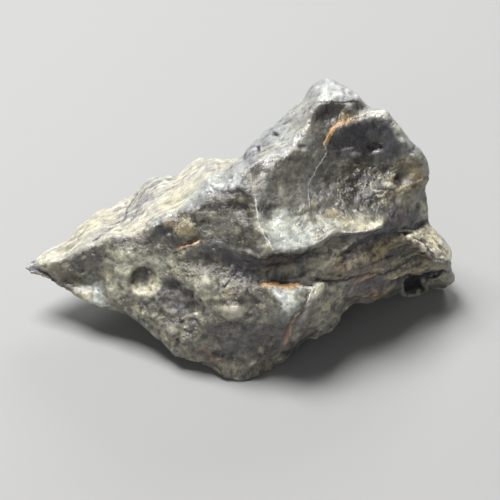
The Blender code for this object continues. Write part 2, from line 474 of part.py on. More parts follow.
def main():
    for obj in list(bpy.data.objects):
        bpy.data.objects.remove(obj)
    shape = cage()
    rounded(shape)
    mesh = bpy.data.meshes.new("meteorite")
    shape.to_mesh(mesh)
    shape.free()
    stone = bpy.data.objects.new("meteorite", mesh)
    bpy.context.scene.collection.objects.link(stone)
    applied(stone, "REMESH", mode="VOXEL", voxel_size=VOXEL * MM)
    applied(stone, "SMOOTH", factor=0.5, iterations=2)
    lumps = bpy.data.textures.new("lumps", "CLOUDS")
    lumps.noise_scale = LUMP_SIZE * MM
    applied(stone, "DISPLACE", texture=lumps, strength=LUMP_DEPTH * MM, mid_level=LUMP_LEVEL)
    marked(stone)
    cut_foot(stone)
    full = sum(len(face.vertices) - 2 for face in stone.data.polygons)
    applied(stone, "DECIMATE", ratio=TRIANGLES / full)
    set_down(stone)
    stone.data.materials.clear()
    stone.data.materials.append(stone_material())
    stone.data.shade_smooth()
    stone.data.set_sharp_from_angle(angle=math.radians(35))


main()
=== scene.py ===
import math

import bpy
import numpy as np
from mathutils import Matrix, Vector, noise


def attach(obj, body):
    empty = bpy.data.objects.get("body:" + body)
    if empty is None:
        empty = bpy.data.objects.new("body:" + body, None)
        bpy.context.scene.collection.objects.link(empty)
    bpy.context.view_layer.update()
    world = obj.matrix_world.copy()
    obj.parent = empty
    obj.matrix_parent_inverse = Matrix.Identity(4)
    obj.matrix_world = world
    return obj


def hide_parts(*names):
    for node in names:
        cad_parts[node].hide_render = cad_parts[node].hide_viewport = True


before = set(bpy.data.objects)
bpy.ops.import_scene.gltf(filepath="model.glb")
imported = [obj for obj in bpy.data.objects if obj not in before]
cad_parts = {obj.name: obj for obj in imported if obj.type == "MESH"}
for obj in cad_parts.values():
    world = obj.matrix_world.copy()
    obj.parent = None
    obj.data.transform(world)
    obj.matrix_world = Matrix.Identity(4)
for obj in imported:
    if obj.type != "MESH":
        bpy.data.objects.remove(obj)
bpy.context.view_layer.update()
mm = 0.001
noise.seed_set(4)    # with no seed of its own, turbulence_vector takes one from the clock
print("frame loaded")

# the photograph's view: what it aims at in mm, how steeply it looks down, from how far, and what it takes in
photoView = {
    "aim": (0.88, -2.44, 10.01),
    "tilt": math.radians(40),
    "distance": 200.0,
    "width": 50.0,
}
viewer = np.array((0, -math.cos(photoView["tilt"]), math.sin(photoView["tilt"])))


def asSeen(points):
    # how far right and up each point looks from the middle of the view, in mm
    x, y, z = (points / mm - np.array(photoView["aim"])).T
    tilt = photoView["tilt"]
    nearer = 1 - (z * math.sin(tilt) - y * math.cos(tilt)) / photoView["distance"]
    rise = y * math.sin(tilt) + z * math.cos(tilt)
    return np.stack([x / nearer, rise / nearer], axis=1)


def readVectors(mesh, name="co"):
    values = np.zeros(len(mesh.vertices) * 3)
    mesh.vertices.foreach_get(name, values)
    return values.reshape(-1, 3)


def edgeEnds(mesh):
    ends = np.zeros(len(mesh.edges) * 2, dtype=np.int64)
    mesh.edges.foreach_get("vertices", ends)
    return ends.reshape(-1, 2).T


def evened(mesh, values, times):
    # each value drawn towards the mean of its neighbours
    first, second = edgeEnds(mesh)
    count = np.bincount(np.concatenate([first, second]), minlength=len(values))
    for _ in range(times):
        total = np.bincount(first, values[second], len(values))
        total += np.bincount(second, values[first], len(values))
        values = 0.5 * values + 0.5 * total / count
    return values


def bulgeOf(mesh):
    # above nothing on ridges, below nothing in hollows
    points, normals = readVectors(mesh) / mm, readVectors(mesh, "normal")
    first, second = edgeEnds(mesh)
    gap = points[second] - points[first]
    count = np.bincount(np.concatenate([first, second]), minlength=len(points))
    away = np.bincount(first, -np.sum(gap * normals[first], axis=1), len(points))
    away += np.bincount(second, np.sum(gap * normals[second], axis=1), len(points))
    return away / count


def smoothStep(low, high, values):
    share = np.clip((values - low) / (high - low), 0, 1)
    return share * share * (3 - 2 * share)


def noiseAt(points, size, seed):
    moved = points / mm / size + np.array((seed, 0, 0))
    return np.array([noise.fractal(point, 1.0, 2.0, 3) for point in moved])


def pitsAt(points, size, seed):
    # 1 at the bottom of a pit and 0 between pits, each cell with a pit of its own depth
    moved = points / mm / size + np.array((seed, 0, 0))
    depth = np.zeros(len(points))
    for index, point in enumerate(moved):
        distances, centres = noise.voronoi(point)
        depth[index] = max(0, 1 - distances[0] * 1.5) * noise.cell(centres[0] * 7.3)
    return depth * depth * 2


def wandered(places, size, amount, seed):
    # the same places pushed about a little, so that no drawn edge runs straight
    moved = [noise.turbulence_vector(Vector((a / size, b / size, seed)), 2, False) for a, b in places]
    return places + amount * np.array(moved)[:, :2]


def lineReach(places, line):
    # distance from the line, the same with a sign for the side, and how far past its ends
    nearest = np.full(len(places), 1e9)
    side = np.zeros(len(places))
    past = np.zeros(len(places))
    for step, (start, end) in enumerate(zip(line, line[1:])):
        start, along = np.array(start), np.subtract(end, start)
        length = np.hypot(*along)
        share = (places - start) @ along / length ** 2
        gap = places - start - np.clip(share, 0, 1)[:, None] * along
        distance = np.hypot(gap[:, 0], gap[:, 1])
        closer = distance < nearest
        across = ((places - start) @ np.array((along[1], -along[0]))) / length
        atEnd = ((share < 0) & (step == 0)) | ((share > 1) & (step == len(line) - 2))
        side = np.where(closer, np.where(atEnd, across, np.sign(across) * distance), side)
        past = np.where(closer, np.where(atEnd, np.abs(share - np.clip(share, 0, 1)) * length, 0), past)
        nearest = np.minimum(nearest, distance)
    return nearest, side, past


def insideArea(places, corners, soft, fray):
    # 1 well inside the area, 0 outside, with a soft and frayed edge of that width
    ring = list(corners) + [corners[0]]
    inside = np.zeros(len(places), dtype=bool)
    for (x1, y1), (x2, y2) in zip(ring, ring[1:]):
        if y1 != y2:
            crossed = (places[:, 1] < y1) != (places[:, 1] < y2)
            inside ^= crossed & (places[:, 0] < x1 + (x2 - x1) * (places[:, 1] - y1) / (y2 - y1))
    edge = lineReach(places, ring)[0]
    return smoothStep(-soft, soft, np.where(inside, edge, -edge) + soft * fray)


def insideSpot(places, across, up, wide, high, turn=0):
    # 1 in the middle of the spot, 0 outside, with a round cross-section
    a, b = places[:, 0] - across, places[:, 1] - up
    c, s = math.cos(math.radians(turn)), math.sin(math.radians(turn))
    reach = ((a * c + b * s) / wide) ** 2 + ((b * c - a * s) / high) ** 2
    return np.clip(1 - reach, 0, 1)


# the marks of the side that is seen

tones = {
    "cream": (0.42, 0.39, 0.28),
    "paleCream": (0.45, 0.43, 0.355),
    "brightCream": (0.62, 0.58, 0.44),
    # the right end's cream, paler than the stone's own colour to make up for the shade the lamps leave
    # there: partly painted light
    "endCream": (0.88, 0.81, 0.62),
    "paleGrey": (0.275, 0.275, 0.255),
    "summitGrey": (0.28, 0.284, 0.272),
    "blueGrey": (0.20, 0.20, 0.22),
    "blueWhite": (0.36, 0.37, 0.37),
    "bevelGrey": (0.27, 0.278, 0.262),
    "beige": (0.15, 0.138, 0.107),
    "shelfWhite": (0.42, 0.435, 0.39),
    "shelfTan": (0.19, 0.176, 0.125),
    "leftGrey": (0.30, 0.28, 0.21),
    "midGrey": (0.18, 0.168, 0.13),
    "frontGrey": (0.40, 0.385, 0.29),
    "olive": (0.047, 0.043, 0.030),
    "scoopPale": (0.18, 0.174, 0.146),
    "scoopGrey": (0.098, 0.093, 0.076),
    "scoopDark": (0.036, 0.034, 0.038),
    "bandGrey": (0.19, 0.178, 0.158),
    "lowGrey": (0.10, 0.093, 0.084),
    "block": (0.225, 0.185, 0.13),
    "endOlive": (0.20, 0.19, 0.16),
    "brown": (0.22, 0.165, 0.095),
    "umber": (0.055, 0.045, 0.037),
    "tan": (0.36, 0.29, 0.16),
    "gold": (0.30, 0.235, 0.12),
    "oldGold": (0.32, 0.27, 0.145),
    "darkOlive": (0.027, 0.025, 0.026),
    "plum": (0.050, 0.043, 0.056),
    "dark": (0.017, 0.015, 0.022),
    "black": (0.014, 0.014, 0.022),
    "white": (0.72, 0.70, 0.62),
    "orange": (0.74, 0.40, 0.155),
    "veinGold": (0.38, 0.235, 0.095),
    "paleOrange": (0.66, 0.48, 0.28),
    "salmon": (0.46, 0.27, 0.17),
    "rust": (0.20, 0.10, 0.045),
}

# an area is its tone, strength, soft edge, depth pressed in, coarseness, streaks, pale flecks and corners,
# in mm across and up
frontAreas = [
    # the pitted lower left
    ("midGrey", 1.0, 0.6, 0, 1.0, 0, 0.3, [
        (-20.2, -1.2), (-17, -0.1), (-14.6, 0.7), (-13, 1.4), (-10, 2.1), (-7.5, 1.5), (-7, 0), (-4.5, 0.5),
        (-1.5, -0.5), (1.2, -1.2), (1.2, -3.5), (2.5, -5), (3.3, -7), (3.2, -10), (4, -11.5), (0, -13.5),
        (-3.5, -13.5), (-10, -9.5), (-15.5, -6.2), (-20, -3.8), (-21.5, -2.5)]),
    ("frontGrey", 0.9, 0.9, 0, 0.6, 0, 0.2, [
        (-14.4, 0.2), (-12.5, 0.4), (-10.4, 0.2), (-8.6, -0.4), (-7.6, -1.6), (-8.6, -2.8), (-9.4, -4.4),
        (-11, -5.2), (-13, -4.8), (-14, -4.6), (-14.4, -2.6)]),
    ("bandGrey", 0.8, 0.5, 0.05, 0.8, 0, 0.1, [
        (-14.4, 0.9), (-12.6, 1.6), (-10.9, 1.7), (-10, 1.0), (-10.4, 0.4), (-12.4, 0.5), (-14, 0.2)]),
    ("leftGrey", 0.8, 0.8, -0.1, 0.6, 0, 0.3, [
        (-6.6, -3.2), (-5.6, -2.8), (-4.5, -2.7), (-3.2, -2.6), (-2.5, -3.0), (-2.6, -4.2), (-3.2, -4.9),
        (-4.6, -5.0), (-5.6, -4.4), (-6.4, -3.9)]),
    ("plum", 0.65, 0.6, 0.1, 0.8, 0, 0, [
        (-9.2, -3.2), (-8.0, -2.8), (-7.0, -3.4), (-6.0, -4.2), (-5.0, -4.8), (-5.2, -5.8), (-6.6, -5.8),
        (-8.0, -5.2), (-9.0, -4.4)]),
    ("lowGrey", 0.85, 0.7, 0, 0.8, 0, 0.1, [
        (-4.5, -7.2), (-2.5, -7.4), (0, -7.6), (1.2, -6.5), (2, -8), (2.6, -10), (0.5, -10.6), (-2, -10.8),
        (-3.8, -9.6)]),
    ("leftGrey", 0.5, 0.7, -0.08, 0.9, 0, 0.5, [
        (-9.6, -6.4), (-8, -7.0), (-6.8, -7.6), (-6.2, -9.0), (-7.4, -9.4), (-9, -8.4), (-10.6, -7.2),
        (-12, -6.4), (-11, -6.0)]),
    ("leftGrey", 1.0, 0.3, -0.1, 0.1, 0, 0, [
        (-3.1, -6.0), (-2.6, -5.4), (-1.8, -5.2), (-0.8, -5.4), (-0.4, -6.0), (-0.8, -6.7), (-1.8, -7.0),
        (-2.8, -6.7)]),
    # the tongue and the scar under the tip
    ("brown", 0.35, 0.5, 0, 0.5, 0, 0, [
        (-20.4, -1.3), (-18.4, -0.9), (-18.0, -2.4), (-18.8, -3.2), (-20.2, -2.4)]),
    ("darkOlive", 0.85, 0.8, 0.1, 0.6, 0, 0.15, [
        (-18.6, -1.0), (-17.6, -0.6), (-16.8, -0.1), (-15.4, 0.3), (-14.5, 0.5), (-14.3, -0.6),
        (-14.6, -1.8), (-15.2, -2.5), (-16.4, -2.7), (-17.4, -2.5), (-18.0, -2.0)]),
    # the scar's pale grey and white, in this area and the next, are partly painted sheen where it faces up
    ("leftGrey", 0.95, 0.2, 0.15, 0.3, 0.3, 0.1, [
        (-18.4, -3.1), (-17.6, -2.95), (-16.8, -3.3), (-16.2, -2.9), (-15.8, -2.7), (-15.8, -4.0),
        (-15.6, -5.4), (-17.2, -5.0), (-18.4, -4.2)]),
    ("shelfWhite", 1.0, 0.2, 0.15, 0.2, 0.2, 0, [
        (-16.2, -2.75), (-15.7, -2.6), (-15.2, -2.75), (-14.8, -3.4), (-14.4, -4.6), (-14.2, -5.6),
        (-15.0, -5.7), (-15.9, -5.2), (-16.0, -4.0)]),
    # the far face along the ridge, its pale cream partly painted sheen where it turns up to the lamps
    ("paleCream", 1.0, 0.2, 0, 0.1, 0.4, 0, [
        (-22.9, -1.0), (-21, 0.1), (-19, 1.2), (-17.6, 2.6), (-15.9, 4.5), (-13.4, 5.5), (-11.2, 7.0),
        (-9.2, 7.9), (-7, 8.5), (-5.4, 9.8), (-1, 9.9), (-1.2, 9.0), (-2.2, 8.2), (-3.3, 8.0), (-4.2, 7.0),
        (-5, 6.2), (-6, 5.2), (-6.7, 4.5), (-8, 3.8), (-9, 3.5), (-10.0, 2.8), (-10.8, 1.7), (-12.4, 1.5),
        (-13.2, 1.4), (-14.6, 0.8), (-15.6, 0.4), (-17, 0.0), (-18.2, -0.8), (-19, -0.9), (-19.8, -1.2)]),
    ("blueGrey", 0.4, 0.5, 0.04, 0.2, 0.9, 0, [
        (-15.4, 1.2), (-14.2, 1.6), (-13, 2.6), (-12, 3.2), (-11, 4.2), (-10, 5.2), (-9.0, 6.4),
        (-7.6, 7.0), (-8.4, 7.4), (-10, 6.8), (-11.4, 5.8), (-12.4, 4.8), (-13.4, 3.6), (-14.4, 2.6)]),
    ("cream", 0.7, 0.5, 0, 0.15, 0.35, 0, [
        (-9.2, 4.6), (-8.2, 5.6), (-7.0, 6.0), (-5.6, 6.0), (-6.2, 5.2), (-7.2, 4.4), (-8.4, 4.0)]),
    ("cream", 0.7, 0.6, 0, 0.15, 0.4, 0, [
        (-19.2, 0.2), (-18, 1.4), (-16.4, 3.2), (-15, 4.2), (-14.4, 3.6), (-15.6, 2.2), (-17, 0.9),
        (-18.6, -0.2)]),
    ("brightCream", 0.5, 0.4, 0, 0.3, 0.4, 0, [
        (-12.4, 2.4), (-11.4, 3.0), (-10.4, 2.9), (-10.8, 2.0), (-12.2, 1.7)]),
    ("blueGrey", 0.4, 0.25, 0, 0.2, 0.3, 0, [
        (-4.9, 8.0), (-4.6, 8.9), (-3.6, 8.9), (-3.4, 8.1), (-4.2, 7.8)]),
    ("bevelGrey", 1.0, 0.2, 0, 0.05, 0.2, 0, [
        (-10.4, 1.9), (-9.8, 2.8), (-9, 3.4), (-8, 3.8), (-6.7, 4.5), (-6, 5.2), (-5, 6.2), (-4.1, 7.1),
        (-3.2, 7.9), (-2.2, 8.2), (-1, 9.0), (-0.2, 9.2), (0.2, 8.4), (-0.9, 7.4), (-0.9, 6.5), (-2.2, 6.1),
        (-3.6, 6.1), (-4.0, 5.3), (-4.8, 4.8), (-5.9, 4.3), (-6.8, 3.8), (-8, 3.2), (-9.2, 2.7)]),
    # painted highlight along the crest
    ("shelfWhite", 0.3, 0.3, -0.05, 0.1, 0.2, 0, [
        (-10.0, 2.6), (-8, 3.9), (-6.4, 4.9), (-5, 6.4), (-3.4, 8.0), (-2.4, 8.1), (-3.8, 6.6), (-5.2, 5.4),
        (-6.6, 4.1), (-8.2, 3.4)]),
    # from the crest up to the summit
    ("summitGrey", 1.0, 0.35, 0, 0.15, 0.3, 0, [
        (-1, 9.4), (0, 11.2), (1.6, 12.8), (3.7, 14.4), (5.4, 15.8), (6.5, 17.5), (8.4, 17.6), (10.4, 16.4),
        (11.3, 15), (10.0, 14.9), (8.6, 15.0), (7.4, 14.9), (6.4, 14.5), (5.8, 13.6), (5.3, 12.6),
        (4.9, 11.4), (4.6, 10.4), (3.6, 9.6), (2.8, 9.2), (1.9, 8.7), (1.0, 8.9), (0.2, 8.8), (-0.5, 8.0),
        (-1, 7.6), (-1.4, 8.6)]),
    ("blueGrey", 0.55, 0.3, 0.03, 0.2, 0.6, 0, [
        (-0.4, 9.4), (0.4, 10.4), (1.4, 11.2), (2.2, 12.2), (1.8, 11.0), (1.0, 9.8), (0.2, 9.0)]),
    ("tan", 0.2, 0.4, 0, 0.2, 0.5, 0, [
        (0.6, 9.6), (2.0, 10.4), (3.6, 11.0), (3.2, 10.2), (1.8, 9.4), (0.8, 9.1)]),
    ("bandGrey", 0.5, 0.35, 0.03, 0.2, 0.3, 0, [
        (3.4, 12.8), (4.6, 13.6), (5.6, 14.4), (5.4, 13.2), (4.2, 12.2)]),
    ("bandGrey", 0.75, 0.8, 0, 0.3, 0.2, 0, [
        (5.0, 9.6), (4.6, 10.6), (5.2, 11.6), (5.8, 12.6), (6.4, 13.0), (7.0, 12.4), (7.8, 11.8),
        (7.4, 10.8), (6.6, 9.8)]),
    ("beige", 1.0, 0.2, 0.05, 0.4, 0, 0.1, [
        (-0.8, 6.9), (-0.3, 7.7), (0.5, 8.4), (1.2, 8.2), (1.5, 7.6), (1.5, 6.8), (1.1, 6.0), (0.6, 5.5),
        (0.1, 5.6), (-0.2, 6.1)]),
    ("paleGrey", 0.7, 0.3, -0.04, 0.2, 0, 0, [
        (-0.8, 6.2), (0.0, 5.9), (0.5, 5.6), (1.0, 5.9), (1.6, 6.9), (1.9, 7.8), (2.3, 8.4), (1.8, 6.8),
        (1.3, 5.4), (0.8, 4.6), (0.3, 5.0), (-0.4, 5.6)]),
    # the darker face below the bevel
    ("olive", 1.0, 0.35, 0, 0.7, 0, 0.12, [
        (-9.5, 2.3), (-8.5, 2.8), (-6.8, 3.6), (-5.4, 4.2), (-4.2, 5.2), (-2.8, 6.0), (-0.9, 6.5),
        (-0.1, 5.6), (0.4, 4.4), (0.6, 2.8), (1.2, 1.0), (2.0, -0.2), (0.6, -0.4), (-2.2, 0.6), (-4.6, 0.6),
        (-5.2, 1.2), (-7, 0.3), (-8.0, 1.2), (-9, 1.8)]),
    # painted shade under the bevel's lower edge; the dark olive after it is partly painted shade in the long
    # hollow under the brow
    ("dark", 0.9, 0.35, 0.08, 0.6, 0, 0, [
        (-10.1, 2.1), (-9.2, 2.3), (-8.4, 2.1), (-7.6, 1.2), (-7.0, 0.6), (-8.0, 0.2), (-9.2, 0.6),
        (-10.0, 1.2)]),
    ("darkOlive", 0.85, 0.85, 0.08, 0.6, 0, 0, [
        (-6.8, 0.6), (-5.6, 0.9), (-4.8, 0.5), (-3.8, 0.3), (-2, 0.2), (-0.4, -0.2), (1.5, -0.6), (0.6, -2),
        (-1, -1.7), (-2.6, -1.1), (-4.2, -1.3), (-5.6, -0.9), (-7, -0.2)]),
    ("oldGold", 0.7, 0.5, -0.04, 0.6, 0, 0.4, [
        (-7.4, 2.9), (-6.6, 3.2), (-5.7, 3.0), (-5.4, 2.0), (-5.9, 1.1), (-6.9, 0.9), (-7.4, 1.6)]),
    ("scoopPale", 0.6, 0.6, 0, 0.7, 0, 0.3, [
        (-5.4, 3.6), (-3.4, 4.2), (-1.4, 3.6), (-1.6, 1.6), (-3.6, 1.2), (-5.2, 2.2)]),
    # the scooped face
    ("scoopGrey", 1.0, 0.5, 0, 0.4, 0, 0.12, [
        (1.9, 8.5), (3.2, 9.2), (4.8, 9.9), (6, 10.4), (6.6, 11.4), (7.4, 12.4), (8.8, 12.8), (12, 13),
        (15, 10.4), (17.2, 8.4), (17.4, 5.2), (14.6, 3.6), (12, 3.2), (8, 3.4), (4.8, 3.4), (2.4, 4.4),
        (0.9, 4.8), (1.4, 6.4)]),
    # painted light: the scoop's left wall made paler where it lies in shade
    ("scoopPale", 1.0, 0.9, 0, 0.3, 0, 0.1, [
        (1.9, 8.2), (3.2, 8.9), (4.6, 9.2), (5.8, 8.8), (6.4, 7.4), (6.2, 5.6), (6.0, 4.0), (4.4, 3.8),
        (2.6, 4.2), (1.0, 4.6), (1.5, 6.2)]),
    ("scoopDark", 1.0, 0.6, 0, 0.35, 0, 0, [
        (7.6, 11.2), (8.4, 12.1), (9.4, 12.6), (10.6, 12.9), (12.2, 13.3), (13.4, 12.9), (14.2, 12.0),
        (15.0, 10.6), (15.4, 9.6), (14.0, 8.8), (12.4, 9.0), (11, 8.6), (9.4, 8.8), (7.9, 8.8),
        (7.4, 9.8)]),
    ("olive", 0.7, 0.6, 0, 0.5, 0, 0.2, [
        (7.6, 9.2), (9.6, 9.0), (12, 9.0), (14.4, 8.6), (15.8, 8.6), (14, 7.6), (11, 7.6), (8.6, 7.8),
        (7.4, 8.4)]),
    ("olive", 0.55, 0.7, 0, 0.55, 0, 0.35, [
        (9.2, 6.6), (10.6, 7.2), (11.8, 6.6), (12.4, 5.2), (12.0, 4.2), (10.2, 4.4), (8.8, 4.8),
        (8.2, 5.6)]),
    ("umber", 0.85, 0.45, 0.08, 0.4, 0.2, 0, [
        (6.3, 13.0), (6.8, 13.9), (7.4, 14.6), (8.2, 14.8), (9.2, 14.6), (9.5, 14.0), (9.3, 13.3),
        (8.8, 12.9), (8.0, 12.6), (7.2, 12.5)]),
    ("umber", 0.6, 0.2, 0.05, 0.4, 0, 0, [
        (9.4, 13.6), (10.2, 13.9), (11.1, 14.0), (11.3, 13.5), (10.3, 13.1), (9.6, 13.0)]),
    ("gold", 0.22, 0.6, -0.03, 0.8, 0, 0.7, [
        (9.8, 7.4), (11.2, 7.9), (12.6, 8.0), (13.8, 8.0), (14.4, 8.9), (16.0, 9.3), (16.4, 8.6),
        (15.0, 8.0), (14.4, 7.0), (13.8, 6.2), (14.2, 5.2), (13.6, 4.4), (12.6, 4.8), (12.4, 6.0),
        (11.4, 6.6)]),
    ("brown", 0.55, 0.5, 0, 0.6, 0, 0.3, [
        (15.2, 8.2), (17.0, 8.6), (17.6, 7.2), (17.4, 6.0), (16.6, 4.8), (15.4, 4.6), (15.2, 5.6),
        (16.2, 6.4)]),
    ("plum", 0.9, 0.5, 0.05, 0.6, 0.3, 0, [
        (14.4, 4.4), (15.6, 4.6), (16.6, 4.4), (16.9, 2.8), (16.2, 2.3), (15, 1.9), (13.6, 1.4),
        (12.2, 1.2), (13.2, 2.4), (13.8, 3.4)]),
    ("olive", 0.7, 0.6, 0, 0.8, 0, 0.6, [
        (10.6, 7.0), (12.2, 7.6), (13.2, 7.2), (14.0, 5.6), (13.4, 4.6), (12.0, 4.6), (11.0, 5.4)]),
    ("blueGrey", 0.6, 0.3, 0, 0.3, 0.3, 0, [(16.0, 4.4), (16.8, 4.8), (17.0, 3.4), (16.4, 3.0)]),
    # painted reflection: pale grey along the right rim, where it turns to the side
    ("paleGrey", 1.0, 0.35, -0.04, 0.2, 0.3, 0, [
        (11.4, 13.9), (12.6, 14.6), (13.8, 14.4), (15.0, 12.8), (16.6, 11.2), (18.2, 9.6), (18.6, 7.4),
        (17.8, 7.6), (17.2, 9.3), (16.3, 10.2), (15.3, 11.4), (14.5, 12.6), (13.6, 13.4), (12.6, 13.5)]),
    # the shelf, its white and bright cream partly painted sheen where it faces up into the light
    ("shelfWhite", 1.0, 0.35, 0, 0.2, 0.35, 0.1, [
        (0.8, 3.6), (1.6, 3.4), (2.5, 3.8), (3.5, 4.1), (4.3, 3.7), (5.0, 2.8), (5.8, 2.4), (6.8, 2.0),
        (7.0, 1.0), (6.4, 0.5), (5.6, 0.3), (4.8, 0.1), (3.8, -0.3), (2.4, -0.5), (1.8, 0.8), (1.1, 2.2)]),
    ("shelfTan", 1.0, 0.35, 0, 0.5, 0, 0.8, [
        (5.4, 2.8), (6.4, 3.3), (7.4, 3.8), (8.6, 4.2), (9.4, 3.6), (11, 3.7), (12.4, 3.6), (13.3, 2.8),
        (12.2, 2.0), (9.6, 1.75), (8.2, 1.7), (7.4, 1.0), (6.6, 1.0), (6.0, 1.8)]),
    ("brightCream", 0.35, 0.4, -0.03, 0.4, 0, 0.5, [
        (8.6, 2.9), (9.8, 2.7), (11.4, 3.2), (12.8, 3.0), (12.6, 2.3), (11.6, 1.9), (9.6, 1.9),
        (8.6, 2.1)]),
    # the hollow under the shelf and the band below it
    ("lowGrey", 1.0, 0.4, 0, 0.7, 0.2, 0.3, [
        (2.0, -0.8), (4.0, -0.6), (6.4, -0.4), (7.4, 0.4), (8.4, 1.2), (8.6, -0.8), (8.0, -2.2),
        (6.8, -3.0), (4.0, -3.2), (2.2, -2.8)]),
    ("bandGrey", 1.0, 0.5, 0, 0.8, 0.15, 0.4, [
        (5.4, -1.4), (6.4, -0.8), (7.4, 0.0), (8.4, 0.9), (9.6, 1.2), (11.4, 1.3), (12.6, 1.2), (11, 0.5),
        (9.6, -0.3), (8.6, -0.8), (8.0, -2.2), (6.8, -2.9), (5.4, -2.8), (5.0, -2.0)]),
    # painted shadow under the lip of the shelf, in this area and the next
    ("dark", 1.0, 0.6, 0.06, 0.2, 0, 0, [
        (-3.0, -0.6), (-0.8, -0.9), (0.4, -0.8), (1.8, -0.6), (2.4, -0.6), (3.8, -0.5), (4.6, -0.1),
        (5.8, 0.1), (7.0, 0.5), (8.2, 1.3), (8.4, 0.9), (7.2, -0.2), (5.8, -0.6), (4.9, -1.2), (4.4, -2.0),
        (3.0, -2.3), (1.0, -2.3), (-0.4, -2.0), (-2.4, -1.5)]),
    ("dark", 0.75, 0.35, 0.04, 0.3, 0, 0, [
        (7.4, 0.6), (8.0, 1.2), (8.6, 1.55), (10, 1.65), (12, 1.7), (13.4, 2.2), (14.0, 2.0), (12.4, 1.2),
        (10.4, 1.2), (8.6, 1.0)]),
    ("plum", 0.6, 0.4, 0, 0.6, 0, 0, [
        (2.4, -2.6), (4.4, -2.5), (5.6, -3.0), (6.4, -3.4), (4.6, -3.3), (2.4, -3.3)]),
    # the smooth wedge below the orange line, its white partly painted sheen where it faces up and its
    # blue-grey lower edge painted shade, and the block right of it
    ("shelfWhite", 1.0, 0.25, 0.06, 0.25, 0.5, 0, [
        (1.8, -3.7), (4.8, -3.8), (6.2, -3.9), (5.8, -4.6), (5.2, -5.4), (4.6, -6.2), (3.8, -6.8),
        (3.3, -6.2), (2.9, -5.2), (2.4, -4.4)]),
    ("midGrey", 0.75, 0.3, 0.03, 0.3, 0.4, 0, [
        (4.6, -4.0), (6.1, -4.0), (5.7, -4.8), (5.1, -5.6), (4.7, -5.0)]),
    ("blueGrey", 0.6, 0.3, 0.04, 0.3, 0, 0, [
        (2.6, -4.9), (3.2, -5.4), (3.7, -6.4), (4.4, -6.7), (3.8, -7.4), (3.0, -6.4)]),
    ("lowGrey", 0.9, 0.5, 0, 0.4, 0, 0, [
        (1.6, -4.4), (2.4, -5.2), (3.0, -6.6), (3.8, -7.2), (4.4, -7.0), (4.2, -7.8), (3.6, -9.4),
        (2.2, -9.8), (1.8, -8), (1.4, -6.4)]),
    ("bandGrey", 0.95, 0.4, 0, 0.8, 0.4, 0.4, [
        (6.4, -3.7), (7.6, -3.4), (8.6, -3.5), (10.4, -3.3), (12, -3.8), (13.6, -3.6), (14.4, -3.9),
        (13, -4.8), (11.8, -5.6), (9.4, -6.2), (8.6, -8), (6.4, -8.6), (4.6, -9.6), (4.4, -8.4), (5, -6.9),
        (5.8, -5.2)]),
    ("cream", 0.6, 0.4, -0.05, 0.5, 0, 0.3, [
        (6.5, -3.7), (7.4, -3.4), (8.4, -3.6), (8.0, -4.4), (7.0, -4.8), (6.3, -4.6)]),
    ("plum", 0.7, 0.35, 0.05, 0.6, 0.5, 0, [
        (9.4, -3.2), (11, -3.1), (12.6, -2.9), (14.4, -2.8), (14.8, -3.4), (13.4, -3.8), (11.6, -3.9),
        (10, -3.8)]),
    # the rusty blocks
    ("block", 1.0, 0.3, 0, 0.9, 0.7, 0.7, [
        (8.0, -2.4), (8.4, -1.2), (9.2, -0.5), (10.2, -0.3), (11.6, 0.4), (13.2, 1.0), (15.2, 1.7),
        (16.2, 1.0), (17.6, -0.4), (17, -1.2), (15, -2.0), (13, -2.4), (11, -2.8), (8.8, -3.1)]),
    ("plum", 0.75, 0.4, 0.05, 0.6, 0.8, 0, [
        (13.6, 0.2), (15.2, 0.8), (16.6, 0.2), (17.6, -0.4), (17.2, -1.2), (16, -0.9), (14.6, -1.2),
        (13.4, -0.8)]),
    ("gold", 0.8, 0.35, 0, 0.8, 0.6, 0.4, [
        (12.3, 0.0), (13.4, 0.8), (14.6, 0.9), (14.0, 0.0), (13.4, -1.0), (12.4, -1.0)]),
    ("tan", 0.7, 0.3, -0.03, 0.6, 0.3, 0.5, [
        (8.2, -1.9), (8.6, -0.9), (9.3, -0.5), (9.3, -1.4), (8.8, -2.3)]),
    ("plum", 0.6, 0.3, 0.03, 0.6, 0.8, 0, [
        (10.0, -2.6), (12, -1.6), (13.6, -1.0), (13.2, -1.6), (11.8, -2.2)]),
    # the broken right end
    # its cream is partly painted light, paler than the stone's own colour where the lamps leave the end in
    # shade
    ("endCream", 1.0, 0.2, -0.04, 0.35, 0.5, 0.2, [
        (15.4, 1.4), (16.4, 1.8), (17.4, 2.2), (17.8, 3.0), (18.6, 2.2), (19.2, 1.0), (20.2, 0.3),
        (20.4, -0.6), (19.8, -1.2), (18.6, -1.3), (18.1, -0.7), (17.9, 0.2), (17.2, 0.7), (16.4, 0.7),
        (15.8, 0.9)]),
    ("midGrey", 0.6, 0.2, 0.04, 0.4, 0.6, 0, [
        (16.2, 1.5), (17.0, 1.9), (17.8, 1.2), (18.6, 0.2), (18.0, 0.4), (17.0, 1.0)]),
    # painted highlight: bluish white where the broken faces catch the light
    ("blueWhite", 0.85, 0.15, -0.02, 0.2, 0.3, 0, [
        (17.5, 2.9), (18.2, 2.5), (18.9, 1.3), (20.0, 0.3), (20.4, -0.2), (20.3, 0.6), (19.2, 1.6),
        (18.4, 2.8)]),
    ("umber", 0.85, 0.3, 0.08, 0.7, 1.0, 0.2, [
        (13.8, 0.4), (15.4, 0.8), (16.4, 0.4), (17.0, 0.2), (17.4, -0.4), (17.2, -1.1), (16.0, -0.9),
        (14.8, -1.1), (13.6, -0.7)]),
    ("tan", 0.6, 0.2, -0.06, 0.7, 0.6, 0.4, [
        (13.4, -3.0), (15.0, -1.9), (16.6, -1.1), (17.8, -0.9), (18.2, -1.6), (17.0, -2.2), (15.2, -2.6),
        (13.8, -3.3)]),
    ("endOlive", 1.0, 0.25, 0, 0.4, 0.2, 0.1, [
